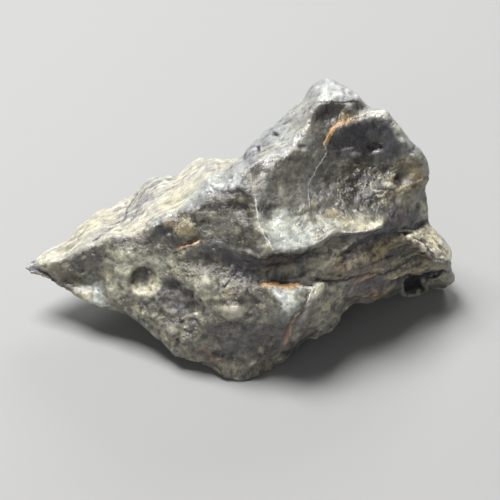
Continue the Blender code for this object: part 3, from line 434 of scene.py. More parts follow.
        (18.1, -1.2), (19.4, -1.1), (20.2, -1.0), (20.6, -2.4), (20.4, -3.9), (18.6, -3.9), (17.8, -3.6),
        (17.9, -2.9), (18.8, -2.5), (18.4, -2.0)]),
    ("leftGrey", 0.9, 0.2, -0.03, 0.3, 0.2, 0, [
        (19.0, -2.7), (19.9, -2.4), (20.5, -2.0), (20.6, -3.4), (19.8, -3.8), (19.2, -3.4)]),
    # painted highlight: bluish white where the edge catches the light
    ("blueWhite", 0.8, 0.15, -0.02, 0.2, 0, 0, [
        (20.0, -0.9), (20.5, -1.2), (20.8, -2.4), (20.4, -3.2), (20.3, -1.9)]),
    # painted shade in the cavity under the ledge
    ("black", 1.0, 0.2, 0.3, 0.1, 0, 0, [
        (15.3, -3.4), (15.8, -2.7), (16.8, -2.5), (18.0, -2.4), (19.4, -2.2), (19.5, -2.4), (18.4, -2.8),
        (17.7, -3.3), (17.4, -4.1), (16.2, -4.5), (15.2, -4.5)]),
]

# a drift is a broad soft change of tone: its tone, strength, middle, half width, half height and turn,
# here and below in degrees and left out where it is nothing
frontDrifts = [
    # paler, partly painted light where the surface lies in shade
    ("paleGrey", 0.6, 10.2, 13.9, 1.4, 0.6), ("paleGrey", 0.6, 6.0, 10.0, 1.6, 1.4),
    ("paleGrey", 0.45, 6.1, 6.2, 1.5, 1.8), ("scoopPale", 0.4, 8.2, 9.0, 1.6, 1.6),
    ("tan", 0.45, 16.2, 8.0, 1.3, 1.3), ("beige", 0.7, 16.0, 6.0, 1.4, 1.2),
    ("leftGrey", 0.8, 16.1, 4.7, 1.4, 1.3), ("shelfWhite", 0.5, 7.8, 2.2, 1.5, 1.0, 15),
    ("brightCream", 0.8, 12.1, 2.4, 1.4, 0.6, 10), ("leftGrey", 0.7, 8.1, 0.2, 1.6, 1.2, 30),
    ("leftGrey", 0.5, 10.2, 0.2, 1.4, 0.8, 20), ("midGrey", 0.6, -15.9, -1.8, 1.2, 0.9),
    ("leftGrey", 0.6, -14.0, -2.2, 1.2, 1.3), ("bandGrey", 0.9, 4.4, -2.2, 1.8, 0.8),
    ("leftGrey", 0.7, 6.8, -2.0, 1.7, 1.2, 10), ("frontGrey", 1.0, -4.2, -4.2, 1.6, 1.0, 10),
    ("frontGrey", 0.6, 8.0, -5.4, 1.9, 2.9, -10), ("leftGrey", 0.6, -6.0, -0.3, 1.2, 0.6, 15),
    ("midGrey", 0.3, -1.0, -8.6, 1.6, 1.0), ("paleGrey", 0.5, 1.6, 6.0, 0.6, 1.6, -10),
    ("leftGrey", 0.6, 1.5, 0.3, 0.9, 0.7, -50), ("midGrey", 0.5, 0.2, 2.0, 0.8, 1.4),
    ("endCream", 0.5, 18.0, 0.4, 1.3, 1.0, -30), ("tan", 0.6, 9.9, 13.4, 0.9, 0.4, 20),
    ("leftGrey", 0.5, 8.3, -3.9, 1.1, 0.8, 20), ("leftGrey", 0.4, 4.8, -2.0, 2.0, 0.6),
    ("paleGrey", 0.6, 3.8, -2.6, 2.0, 0.6), ("bevelGrey", 0.6, -16.6, 0.2, 2.4, 0.4, 26),
    # darker, partly painted shade where the lamps catch the surface
    ("umber", 0.6, -1.6, -4.4, 0.9, 0.8), ("umber", 0.5, -4.0, -0.4, 1.4, 0.8),
    ("scoopGrey", 0.6, 10.0, 3.9, 1.3, 0.6, 10), ("umber", 0.4, 1.8, -9.4, 1.4, 1.0),
    ("olive", 0.9, 11.9, 7.2, 2.2, 2.4), ("olive", 0.6, 10.0, 4.7, 1.6, 0.8),
    ("darkOlive", 0.8, 11.2, 6.2, 1.7, 1.7), ("scoopDark", 0.5, 13.4, 10.6, 1.8, 1.4),
    ("lowGrey", 0.9, -10.0, 0.5, 1.9, 1.0, 10), ("lowGrey", 0.5, -13.0, 0.7, 1.8, 0.9),
    ("umber", 0.7, -18.6, -2.3, 1.6, 0.9, -20), ("umber", 0.9, -18.2, -3.6, 1.5, 0.7, -30),
    ("umber", 0.7, -3.6, -1.7, 2.0, 0.9, -10), ("plum", 0.9, -0.2, -2.2, 1.9, 1.0),
    ("umber", 0.65, 0.1, -4.4, 1.7, 1.5), ("lowGrey", 0.6, -8.8, -6.2, 2.4, 1.3, -25),
    ("lowGrey", 0.6, -11.6, -5.0, 1.6, 0.9, -30), ("umber", 0.35, -6.0, -8.6, 1.5, 1.2, -20),
    ("umber", 0.6, -3.2, -10.6, 2.2, 1.1, -15), ("umber", 0.5, 1.4, -10.4, 1.8, 1.2, 20),
    ("umber", 0.4, -0.4, -12.2, 2.2, 1.0), ("umber", 0.6, -3.6, -12.2, 1.6, 1.0, -30),
]

# a spot is its tone, strength, depth pressed in, middle, half width, half height and turn
frontSpots = [
    # the round crater: painted shade on its upper wall, painted light on its floor, and a painted glint
    ("dark", 0.8, 0, -10.9, -2.3, 1.1, 0.65, 10), ("dark", 0.6, 0, -11.8, -3.0, 0.5, 0.8, -15),
    ("cream", 1.0, -0.05, -10.3, -3.7, 1.4, 1.0, 10),
    ("brightCream", 0.9, -0.03, -10.5, -3.5, 1.0, 0.7, 10), ("white", 0.7, -0.02, -10.2, -2.35, 0.15, 0.15),
    ("leftGrey", 0.5, -0.05, -9.8, -1.3, 0.9, 0.35, -50),
    # hollows and lumps of the lower left
    ("dark", 0.4, 0.1, -7.8, -3.5, 0.9, 0.7, -15), ("dark", 0.4, 0.1, -6.3, -4.5, 0.7, 0.55),
    ("dark", 0.4, 0.08, -8.6, -5.1, 0.9, 0.45, 25), ("blueGrey", 0.6, 0.06, -7.2, -5.9, 1.0, 0.6),
    ("cream", 0.5, -0.1, -11.5, -5.8, 0.45, 0.3), ("cream", 0.4, -0.08, -10.6, -6.3, 0.4, 0.25),
    ("cream", 0.55, -0.1, -9.6, -6.5, 0.4, 0.25), ("cream", 0.4, -0.08, -8.8, -6.9, 0.5, 0.25),
    ("paleCream", 0.6, -0.1, -7.7, -8.1, 0.6, 0.4), ("cream", 0.35, -0.1, -8.6, -8.8, 0.5, 0.5),
    ("black", 0.55, 0.12, -7.3, -9.3, 0.2, 0.45, -10), ("black", 0.45, 0.1, -6.55, -9.4, 0.25, 0.15, 30),
    # the white spot on this line is a painted glint
    ("white", 0.9, -0.05, -6.45, -7.75, 0.17, 0.12), ("dark", 0.45, 0.08, -5.4, -7.6, 0.45, 0.25, 20),
    ("dark", 0.4, 0.08, -4.5, -8.6, 0.4, 0.35), ("dark", 0.4, 0.08, -5.0, -9.5, 0.3, 0.2),
    ("cream", 0.5, -0.1, -6.5, -9.7, 0.35, 0.3), ("dark", 0.45, 0.1, -3.2, -10.4, 0.7, 0.4),
    # the white spots at the end of this line and the start of the next are painted glints
    ("dark", 0.35, 0.08, -2.0, -10.8, 0.4, 0.25), ("white", 0.8, -0.03, -12.9, -0.3, 0.14, 0.26),
    ("white", 0.8, -0.03, -12.1, -0.25, 0.26, 0.12, 50), ("dark", 0.45, 0.08, -12.9, -3.9, 0.25, 0.2),
    ("cream", 0.5, -0.03, -14.3, -2.4, 0.2, 0.5, -15), ("cream", 0.4, -0.03, -13.7, -1.6, 0.2, 0.6, 20),
    ("paleCream", 0.4, -0.08, -11.2, 0.0, 1.2, 0.5), ("dark", 0.5, 0.06, -5.9, -6.9, 0.35, 0.3),
    ("white", 0.7, -0.05, -5.5, -6.3, 0.12, 0.4, 25), ("dark", 0.35, 0.08, -3.8, -5.2, 0.5, 0.4),
    ("paleCream", 0.5, -0.06, -4.6, -3.5, 0.8, 0.6), ("paleCream", 0.5, -0.05, -3.4, -3.9, 0.6, 0.5),
    # the slit, its pit, and the smooth lens below them; the lens's pale cream is partly painted sheen
    ("brown", 0.4, 0.02, -2.3, -4.3, 0.7, 0.3), ("paleCream", 0.6, -0.02, -1.6, -6.0, 1.0, 0.6, -5),
    ("dark", 0.6, 0.08, -2.2, -7.5, 1.3, 0.4, 8), ("cream", 0.2, -0.05, 1.2, -7.4, 0.5, 0.5),
    ("dark", 0.4, 0.12, 0.8, -8.9, 1.0, 0.6), ("dark", 0.35, 0.08, -0.2, -6.6, 0.4, 0.3),
    # the foot
    ("cream", 0.8, -0.1, 0.3, -11.4, 0.45, 0.25, 25), ("black", 0.5, 0.08, -2.7, -12.3, 0.15, 0.4, 20),
    ("cream", 0.5, -0.06, -1.4, -12.8, 0.3, 0.2), ("cream", 0.35, -0.08, 1.1, -10.1, 0.35, 0.4),
    ("dark", 0.35, 0.08, -0.8, -11.0, 0.5, 0.3), ("cream", 0.25, -0.1, -1.2, -11.9, 1.0, 0.6),
    # pits of the tongue, and the knob of the tip
    ("cream", 0.6, -0.03, -16.6, -0.85, 0.25, 0.15), ("black", 0.6, 0.06, -16.75, -2.2, 0.2, 0.15),
    ("white", 0.5, -0.02, -16.7, -2.4, 0.12, 0.08), ("blueWhite", 0.8, -0.02, -22.0, -1.5, 0.6, 0.7),
    ("beige", 0.8, -0.05, -20.2, -3.0, 0.5, 0.25, -35),
    # pits of the bevel and the flank
    ("dark", 0.4, 0.06, -1.9, 7.4, 0.25, 0.2), ("dark", 0.3, 0.05, -3.8, 6.9, 0.2, 0.15),
    ("dark", 0.3, 0.04, -2.4, 6.4, 0.3, 0.2), ("brown", 0.6, 0.04, -3.1, 8.4, 0.18, 0.5, 10),
    ("black", 0.75, 0.12, 2.45, 11.65, 0.35, 0.18, -25), ("black", 0.6, 0.1, 0.85, 10.2, 0.16, 0.35, 10),
    ("dark", 0.45, 0.06, -0.5, 9.4, 0.15, 0.4), ("dark", 0.4, 0.05, 2.9, 12.9, 0.35, 0.12, 30),
    ("beige", 0.6, 0.04, 2.6, 9.25, 0.8, 0.15), ("dark", 0.4, 0.06, 5.2, 10.35, 0.5, 0.2, 10),
    # painted highlights: the pale grey on the lower rim of the pit before it, and the white on top of the
    # summit here and at the start of the next line
    ("paleGrey", 0.6, -0.05, 5.3, 9.85, 0.45, 0.2, 10), ("shelfWhite", 0.5, -0.05, 7.0, 15.6, 0.9, 0.9, 20),
    ("shelfWhite", 0.4, -0.03, 8.8, 15.6, 0.5, 0.4), ("shelfWhite", 0.4, 0, 3.4, 10.8, 1.4, 0.4, 30),
    # the face below the bevel
    ("dark", 0.5, 0.08, -4.7, 4.1, 0.35, 0.4), ("dark", 0.6, 0.1, -5.5, 2.8, 0.35, 0.2),
    ("dark", 0.5, 0.08, -4.7, 2.9, 0.25, 0.2), ("dark", 0.5, 0.08, -0.6, 4.3, 0.6, 0.35, 20),
    ("dark", 0.45, 0.05, -4.2, 5.6, 0.6, 0.3, 10), ("dark", 0.4, 0.06, -2.4, 3.2, 0.7, 0.5),
    ("cream", 0.3, -0.06, -0.9, 5.0, 0.3, 0.3), ("leftGrey", 0.4, -0.06, -3.5, 1.5, 0.9, 0.35),
    ("brown", 0.5, 0.06, -8.1, 2.6, 0.6, 0.45), ("cream", 0.4, -0.04, -8.1, 1.6, 0.25, 0.2),
    ("cream", 0.35, -0.03, -9.7, 1.1, 0.3, 0.2), ("brightCream", 0.7, -0.05, -6.9, -0.15, 0.5, 0.2, -15),
    ("leftGrey", 0.5, -0.05, -5.5, 0.3, 0.5, 0.2, 30), ("leftGrey", 0.4, -0.06, -1.5, 2.0, 0.6, 0.5),
    # pits and blobs of the scooped face
    # the pale just below the dark pit on this line is a painted highlight on the pit's lower rim
    ("dark", 0.9, 0.12, 12.5, 10.35, 0.85, 0.42, -5), ("scoopPale", 0.6, -0.08, 12.7, 9.75, 0.75, 0.2, 12),
    ("leftGrey", 0.6, -0.06, 13.1, 10.65, 0.2, 0.18), ("dark", 0.5, 0.05, 14.2, 9.8, 0.6, 0.5),
    ("scoopPale", 0.8, -0.05, 10.5, 9.6, 0.6, 0.25), ("scoopPale", 0.6, -0.04, 9.7, 10.1, 0.7, 0.12, 15),
    ("dark", 0.5, 0.04, 8.9, 10.3, 0.8, 0.3, 10), ("leftGrey", 0.4, -0.03, 10.5, 8.5, 0.3, 0.15),
    ("umber", 0.6, 0.05, 15.3, 7.2, 1.0, 0.5, 20), ("dark", 0.5, 0.06, 13.7, 8.1, 0.35, 0.2),
    ("brightCream", 0.7, -0.06, 13.9, 6.5, 0.7, 0.3, -15), ("brightCream", 0.8, -0.03, 12.6, 5.8, 0.4, 0.1),
    ("brightCream", 0.7, -0.03, 12.9, 5.4, 0.5, 0.1, -5), ("cream", 0.8, -0.05, 15.6, 6.1, 0.6, 0.4, 30),
    ("cream", 0.6, -0.04, 14.4, 7.5, 0.3, 0.15), ("cream", 0.6, -0.04, 15.9, 8.8, 0.3, 0.15),
    ("white", 0.7, -0.03, 8.65, 4.6, 0.2, 0.1, -30), ("white", 0.6, -0.03, 11.2, 4.1, 0.2, 0.1),
    ("white", 0.6, -0.03, 10.5, 4.0, 0.2, 0.1), ("cream", 0.5, -0.02, 8.7, 6.2, 0.12, 0.12),
    ("cream", 0.5, -0.02, 9.3, 5.8, 0.15, 0.1), ("cream", 0.5, -0.02, 8.9, 5.1, 0.12, 0.1),
    ("cream", 0.5, -0.02, 3.0, 6.2, 0.14, 0.12), ("cream", 0.5, -0.02, 4.8, 6.5, 0.14, 0.12),
    ("cream", 0.5, -0.02, 4.3, 7.7, 0.15, 0.12), ("cream", 0.3, -0.02, 5.6, 7.4, 0.3, 0.1),
    ("tan", 0.7, -0.02, 6.4, 4.6, 0.4, 0.3, 20), ("gold", 0.7, 0, 8.0, 3.8, 0.9, 0.35, 10),
    ("umber", 0.5, 0.04, 2.0, 4.3, 0.8, 0.35), ("blueGrey", 0.4, 0.04, 7.6, 4.3, 0.9, 0.3),
    # the bead by the summit's lip, and the rim right of it, the rim's pale grey and white painted reflection
    ("shelfWhite", 1.0, -0.12, 9.95, 14.25, 0.5, 0.4), ("tan", 0.7, -0.03, 9.4, 13.4, 0.5, 0.4, 30),
    ("paleGrey", 0.5, -0.03, 10.9, 14.7, 0.7, 0.35, -20),
    ("paleGrey", 0.6, -0.04, 11.0, 13.9, 0.8, 0.25, 10), ("shelfWhite", 0.5, -0.04, 13.0, 13.8, 0.5, 0.2),
    ("shelfWhite", 0.4, -0.03, 15.0, 12.0, 0.2, 0.3, 30),
    ("shelfWhite", 0.4, -0.03, 16.9, 10.2, 0.25, 0.4, 30),
    # lumps of the band below the shelf and of the blocks
    ("brightCream", 0.8, -0.05, 9.6, 0.1, 0.5, 0.25, 30), ("cream", 0.4, -0.06, 7.2, -0.5, 0.3, 0.25),
    ("cream", 0.4, -0.05, 7.7, 0.1, 0.2, 0.2), ("cream", 0.3, -0.06, 5.6, -1.6, 0.35, 0.3),
    ("cream", 0.3, -0.06, 6.3, -2.3, 0.4, 0.3), ("olive", 0.5, 0, 3.0, -2.75, 0.9, 0.25, 10),
    ("plum", 0.5, 0.06, 6.2, -2.9, 0.8, 0.3), ("cream", 0.4, -0.08, 7.6, -5.6, 0.5, 0.6),
    ("cream", 0.4, -0.08, 7.6, -6.9, 0.35, 0.25), ("dark", 0.35, 0.06, 7.9, -7.6, 0.4, 0.25),
    ("cream", 0.5, -0.08, 5.0, -8.4, 0.3, 0.25), ("dark", 0.45, 0.08, 3.6, -10.3, 0.7, 0.3, 20),
    ("dark", 0.4, 0.08, 9.8, -5.0, 0.5, 0.3), ("cream", 0.5, -0.06, 8.8, -4.8, 0.9, 0.25, 40),
    ("rust", 0.6, 0.05, 13.8, -0.8, 0.5, 0.15, 40), ("rust", 0.5, 0.05, 12.1, 0.3, 0.5, 0.15, 30),
    ("rust", 0.5, 0.03, 15.5, 2.9, 0.25, 0.4), ("salmon", 0.7, -0.04, 12.4, -4.4, 0.5, 0.3, 30),
    ("tan", 0.7, -0.04, 13.8, -3.9, 0.6, 0.22, 35), ("tan", 0.6, -0.03, 13.0, -4.7, 0.7, 0.15, 30),
    # lumps of the right end's ledge, and the gaps between them
    # the cream of these lumps is partly painted light, as the end's cream is
    ("endCream", 0.9, -0.12, 18.2, 1.3, 0.65, 0.45, -40), ("endCream", 0.9, -0.12, 18.6, -0.2, 0.55, 0.4),
    ("endCream", 0.8, -0.1, 19.3, -0.9, 0.55, 0.3), ("brightCream", 0.8, -0.08, 17.5, 0.1, 0.4, 0.25, 20),
    ("endCream", 0.8, -0.1, 16.0, 1.35, 0.8, 0.3, 25), ("umber", 0.8, 0.1, 17.3, 0.9, 0.5, 0.18, -30),
    ("umber", 0.8, 0.1, 18.0, 0.5, 0.2, 0.4, 20), ("umber", 0.7, 0.08, 19.0, 0.2, 0.18, 0.4, 30),
    ("umber", 0.8, 0.08, 16.7, -1.5, 0.6, 0.2, 20),
    # shards of the right end
    ("endOlive", 0.9, -0.2, 15.4, -4.2, 0.3, 0.8, 10), ("leftGrey", 0.8, -0.25, 17.4, -3.5, 0.3, 0.6, 25),
    ("bandGrey", 0.7, -0.1, 16.4, -4.6, 0.8, 0.2), ("white", 0.6, -0.05, 14.6, -2.9, 0.12, 0.35, -20),
    ("brightCream", 0.9, -0.03, 17.3, 4.1, 0.35, 0.9, 10), ("umber", 0.8, 0.04, 16.9, 4.5, 0.2, 0.4),
    ("blueWhite", 0.8, -0.04, 17.8, 3.2, 0.2, 0.6, 20), ("tan", 0.8, -0.05, 17.2, -1.9, 0.6, 0.18, 20),
    ("tan", 0.7, -0.05, 18.9, -1.7, 0.7, 0.35), ("paleGrey", 0.7, -0.03, 20.0, -1.6, 0.2, 0.6, 10),
]

# a crater has steep walls and a flat floor: its depth, middle, half width, half height and turn
frontCraters = [
    (0.25, -10.7, -3.1, 1.4, 1.3), (0.08, 12.5, 10.3, 0.8, 0.45, -5), (0.12, 2.45, 11.65, 0.45, 0.25, -25),
    (0.12, 0.85, 10.2, 0.25, 0.4, 10), (0.1, 5.2, 10.3, 0.6, 0.3, 10), (0.12, -7.2, -9.3, 0.3, 0.5, -10),
    (0.1, -16.7, -2.1, 0.35, 0.25), (0.08, -6.3, -4.5, 0.8, 0.6), (0.08, 0.8, -8.9, 1.1, 0.7),
    (0.08, -3.3, -10.4, 0.8, 0.5),
]

# a line is its layer, tone, half width, strength, depth pressed in and points
frontLines = [
    # the golden vein from the summit and the pale crack below it
    (0, "veinGold", 0.25, 1.0, 0, [
        (10.2, 13.0), (9.5, 12.7), (8.8, 12.5), (8.3, 12.0), (7.9, 11.4), (7.6, 10.8)]),
    (1, "orange", 0.11, 0.6, 0, [(9.3, 12.85), (8.7, 12.6), (8.2, 12.1), (7.85, 11.6)]),
    (1, "paleOrange", 0.1, 0.9, -0.02, [(7.8, 11.3), (7.6, 10.9), (7.5, 10.6)]),
    (0, "brightCream", 0.1, 0.95, -0.03, [
        (10.2, 13.1), (10.8, 13.3), (11.4, 13.7), (12.0, 13.9), (12.8, 13.8)]),
    (1, "tan", 0.09, 0.9, -0.02, [(9.0, 12.9), (8.9, 13.3), (9.2, 13.9), (9.6, 14.1)]),
    (0, "paleGrey", 0.075, 0.95, -0.02, [
        (7.5, 10.6), (7.7, 10.1), (7.6, 9.5), (7.2, 8.9), (6.9, 8.5), (6.5, 7.6), (6.1, 6.9), (5.95, 6.4),
        (5.95, 5.6), (6.0, 4.9), (6.0, 4.2)]),
    # painted shadow under the summit's lip
    (1, "dark", 0.12, 0.8, 0.05, [(7.0, 14.75), (8.0, 14.85), (9.0, 14.75), (9.8, 14.85), (10.6, 14.8)]),
    # painted highlight along the bright ridge left of the shelf, and streaks beside it
    (0, "white", 0.07, 0.7, -0.03, [(0.6, 5.0), (0.7, 4.2), (0.75, 3.2), (1.0, 2.2)]),
    (0, "white", 0.1, 0.9, -0.05, [(1.0, 2.2), (1.5, 1.3), (2.0, 0.6), (2.4, -0.1)]),
    (1, "shelfWhite", 0.08, 0.5, 0, [(3.0, 3.4), (3.4, 3.8), (3.7, 4.1)]),
    (1, "shelfWhite", 0.07, 0.5, 0, [(4.8, 0.6), (5.4, 1.2), (6.2, 1.9)]),
    # painted highlight along the lip of the shelf, brightest in places
    (0, "shelfWhite", 0.1, 0.6, -0.04, [(2.8, -0.35), (3.8, -0.2), (4.8, 0.15)]),
    (0, "white", 0.09, 0.6, -0.04, [(6.6, 0.6), (7.4, 1.1), (8.0, 1.65)]),
    (0, "white", 0.12, 0.8, -0.05, [(9.4, 1.8), (10.6, 1.75), (11.8, 1.85), (12.6, 2.2), (13.2, 2.6)]),
    # the orange line and the white edges by it
    (0, "orange", 0.3, 1.0, -0.05, [
        (1.35, -3.45), (2.0, -3.4), (2.8, -3.5), (3.6, -3.6), (4.4, -3.55), (4.8, -3.5)]),
    (1, "paleOrange", 0.14, 0.8, -0.02, [(1.6, -3.55), (2.4, -3.6), (3.4, -3.75), (4.0, -4.05)]),
    # painted shadow along the top of the orange line
    (1, "black", 0.1, 0.5, 0.03, [(2.4, -3.05), (3.6, -3.15), (4.6, -3.15), (5.4, -3.5), (6.2, -3.65)]),
    (0, "white", 0.12, 0.9, -0.02, [(4.8, -3.7), (5.6, -3.85), (6.3, -3.85)]),
    # painted highlight where the raised block's left edge catches the light
    (0, "brightCream", 0.15, 0.95, -0.06, [
        (7.2, -3.55), (6.6, -3.75), (6.2, -4.2), (6.0, -4.8), (5.5, -5.5), (5.0, -6.1), (4.6, -6.6)]),
    (1, "black", 0.1, 0.6, 0.06, [(6.0, -4.4), (5.6, -5.2), (5.1, -5.9), (4.6, -6.5), (4.2, -7.0)]),
    (0, "salmon", 0.22, 0.75, -0.02, [(4.5, -6.8), (4.2, -7.4), (4.0, -8.0), (3.8, -8.6), (3.5, -9.3)]),
    (1, "rust", 0.12, 0.6, 0.02, [(4.1, -7.2), (3.8, -8.0), (3.6, -8.7)]),
    # grooves between the blocks
    (0, "dark", 0.28, 0.9, 0.14, [
        (8.9, -0.6), (9.6, -0.2), (10.6, 0.4), (11.6, 0.8), (12.6, 1.1), (13.6, 1.5), (15, 1.9),
        (16.4, 2.1), (17.3, 2.7)]),
    (0, "black", 0.12, 0.85, 0.08, [
        (6.8, -2.9), (7.6, -3.1), (8.6, -3.2), (9.8, -3.0), (10.8, -2.6), (12, -2.4), (13.4, -2.4),
        (14.6, -1.9), (15.6, -1.2), (16.8, -0.6)]),
    (1, "plum", 0.14, 0.7, 0.05, [(11.0, -1.8), (12.2, -1.4), (13.4, -0.8), (14.4, -0.6)]),
    (1, "gold", 0.16, 0.7, -0.02, [(9.6, -0.1), (8.9, -0.5), (8.4, -1.3), (8.1, -2.0)]),
    (1, "tan", 0.12, 0.6, -0.02, [(8.0, -2.2), (7.4, -2.7), (6.9, -3.2)]),
    (0, "salmon", 0.22, 0.9, -0.03, [(10.6, -3.2), (11.2, -2.95), (11.9, -2.65), (12.6, -2.45)]),
    (1, "paleOrange", 0.1, 0.7, -0.02, [(11.4, -2.9), (12.0, -2.7), (12.5, -2.5)]),
    (1, "rust", 0.1, 0.6, 0.02, [(12.0, -4.7), (12.8, -4.3), (13.5, -4.0)]),
    (0, "dark", 0.14, 0.8, 0.1, [(14.2, -3.2), (15.2, -2.8), (16.0, -2.5)]),
    (0, "black", 0.13, 0.9, 0.12, [(15.6, -2.55), (17.2, -2.5), (18.6, -2.35), (19.5, -2.25)]),
    (1, "umber", 0.09, 0.5, 0.03, [(17.6, 2.2), (18.2, 1.2), (19.0, 0.5), (19.6, -0.2)]),
    (1, "plum", 0.14, 0.8, 0.08, [(16.4, 1.2), (17.4, 0.6), (18.0, -0.2), (18.6, -0.9), (19.6, -1.1)]),
    (1, "brightCream", 0.12, 0.8, -0.06, [(15.2, 1.9), (16.2, 2.0), (17.0, 1.6), (17.6, 0.9), (18.4, 0.1)]),
    (1, "gold", 0.14, 0.8, -0.06, [(14.0, 0.1), (15.0, 0.5), (15.8, 0.7), (16.6, 0.3)]),
    (1, "tan", 0.13, 0.8, -0.06, [(14.6, -1.5), (15.6, -0.8), (16.6, -0.5), (17.4, -0.6)]),
    (0, "tan", 0.2, 0.85, -0.04, [(14.8, 6.0), (15.4, 6.3), (16.2, 6.6), (17.0, 6.8), (17.7, 7.0)]),
    # the slit, its pit's bright ledge and the short crack in the middle
    (1, "black", 0.13, 1.0, 0.05, [(-2.2, -3.3), (-2.4, -3.55), (-2.55, -3.75)]),
    (1, "rust", 0.12, 0.95, 0.08, [(-7.2, 0.35), (-6.5, 0.5), (-6.0, 0.75), (-5.3, 1.15)]),
    (0, "paleOrange", 0.16, 0.9, -0.03, [(-7.2, 0.0), (-6.6, 0.25), (-5.8, 0.5), (-5.2, 0.85)]),
    # painted highlight along the crest of the ridge, and the creases beyond it
    (0, "paleGrey", 0.16, 0.5, -0.03, [
        (-19.8, -1.2), (-18.4, -0.8), (-17.2, 0.0), (-16.0, 0.45), (-15.0, 0.8), (-13.4, 1.4),
        (-12.4, 1.5)]),
    (0, "brightCream", 0.12, 0.5, -0.03, [(-10.2, 2.7), (-9, 3.5), (-8, 3.85), (-6.7, 4.55), (-6, 5.25)]),
    (0, "paleCream", 0.12, 0.4, -0.03, [
        (-6, 5.25), (-5, 6.25), (-4.2, 7.1), (-3.3, 8.0), (-2.2, 8.25), (-1, 9.1)]),
    (1, "plum", 0.08, 0.6, 0.05, [(-13, 2.8), (-12.6, 3.4), (-12.2, 4.3), (-11.9, 5.0), (-11.4, 5.6)]),
    (1, "blueGrey", 0.1, 0.8, 0.05, [
        (-12.7, 2.4), (-12, 2.9), (-11.5, 3.6), (-11.2, 4.3), (-10.4, 5.1), (-9.9, 5.6)]),
    (0, "plum", 0.07, 0.5, 0.05, [(-9.0, 5.3), (-8.2, 6.1), (-7.5, 6.6), (-6.8, 7.0)]),
    (1, "beige", 0.08, 0.6, 0.04, [(-18.4, 0.1), (-17.6, 0.6)]),
    (1, "beige", 0.08, 0.5, 0.04, [(-17.3, 1.0), (-16.5, 2.0), (-16.2, 2.4)]),
    (1, "white", 0.1, 0.7, -0.03, [(-11.0, 3.0), (-10.4, 3.7), (-9.8, 4.4)]),
    # the dark streak under the bevel
    (0, "plum", 0.2, 0.5, 0.05, [(-3.4, 5.9), (-2.6, 5.75), (-1.8, 5.7), (-1.0, 5.8)]),
    # slot of the tip
    (0, "black", 0.14, 0.9, 0.06, [(-21.2, -2.1), (-20.7, -2.3), (-20.0, -2.7), (-19.6, -3.2)]),
    # edge of the scar
    (1, "brown", 0.09, 0.7, 0.03, [(-18.6, -3.0), (-18, -2.8), (-17.4, -2.95), (-16.9, -3.3)]),
    (1, "brown", 0.09, 0.5, 0.03, [
        (-15.4, -2.6), (-14.9, -2.9), (-14.5, -3.7), (-14.3, -4.6), (-14.2, -5.4)]),
    # streak near the foot
    (0, "salmon", 0.3, 0.3, 0, [(-5.0, -9.7), (-4.2, -10.4), (-3.4, -11.1)]),
    (1, "dark", 0.1, 0.5, 0.04, [(-3.4, -11.6), (-3.0, -11.9)]),
]


# the stone

stoneShape = {
    "voxel": 0.19,
    "easing": (0.5, 6),
    # relief: how far apart, how high or deep, and the seed
    "lumps": (2.4, 0.2, 1.0),
    "knobs": (1.0, 0.15, 5.0),
    "grain": (0.42, 0.06, 9.0),
    "widePits": (1.7, 0.2, 13.0),
    "smallPits": (0.85, 0.14, 17.0),
}

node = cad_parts["meteorite"]
bpy.ops.object.select_all(action="DESELECT")
stone = node.copy()
stone.data = node.data.copy()
stone.name = "stone"
stone.data.name = "stone"
bpy.context.scene.collection.objects.link(stone)
bpy.context.view_layer.objects.active = stone
stone.select_set(True)
bpy.ops.object.mode_set(mode="EDIT")
bpy.ops.mesh.select_all(action="SELECT")
bpy.ops.mesh.remove_doubles(threshold=0.001 * mm)
bpy.ops.object.mode_set(mode="OBJECT")


def shaped(kind, **settings):
    bpy.ops.object.modifier_add(type=kind)
    modifier = stone.modifiers[-1]
    for name, value in settings.items():
        setattr(modifier, name, value)
    bpy.ops.object.modifier_apply(modifier=modifier.name)


easing, times = stoneShape["easing"]
shaped("REMESH", mode="VOXEL", voxel_size=stoneShape["voxel"] * mm)
shaped("SMOOTH", factor=easing, iterations=times)
mesh = stone.data
print("stone shaped", len(mesh.vertices), "points")

# how the marks are laid on the stone
stoneMarks = {
    # wanders: the size of a wander, how far it goes, and the seed
    "lineWander": (1.1, 0.10, 3.7),
    "edgeWander": (1.6, 0.22, 8.1),
    "fineEdgeWander": (0.5, 0.10, 5.3),
    # the fraying of edges: size, seed and amount
    "fray": (0.7, 31.0, 1.2),
    # how far a face has to turn to the viewer to be marked, and to be pressed
    "marked": (-0.35, -0.05),
    "pressed": (0.0, 0.3),
    # how much wider than given a spot is laid, and how much it frays
    "drift": (1.2, 0.6),
    "spot": (1.25, 0.5),
    # lines: how they fade past their ends, how far they are known, and how wide they press
    "lineFade": 0.4,
    "lineField": 0.8,
    "linePress": (1.6, 0.26),
}

# the sides that the photograph hides, which lie under the marks of the side that is seen
hiddenSides = {
    "ground": "lowGrey",
    # patches by noise: their strength, size, seed and range
    "tones": [("leftGrey", 1.0, 5.0, 11.0, -0.35, 0.45), ("summitGrey", 0.55, 6.5, 41.0, 0.1, 0.45)],
    "streak": (0.7, 6.0, 51.0, 0.0, 0.4),
    "flecks": (0.4, 5.0, 61.0, 0.0, 0.4),
    # its middle, and the swing, size and seed of its noise
    "coarse": (0.7, 0.3, 4.0, 21.0),
}

points = readVectors(mesh)
normals = readVectors(mesh, "normal")
places = asSeen(points)
drawn = wandered(places, *stoneMarks["lineWander"])
edges = wandered(wandered(places, *stoneMarks["edgeWander"]), *stoneMarks["fineEdgeWander"])
size, seed, amount = stoneMarks["fray"]
fray = noiseAt(points, size, seed) * amount
faces = normals @ viewer
marked = smoothStep(*stoneMarks["marked"], faces)
pressed = smoothStep(*stoneMarks["pressed"], faces)


def toned(tone, name, share):
    return tone + (np.array(tones[name]) - tone) * share[:, None]


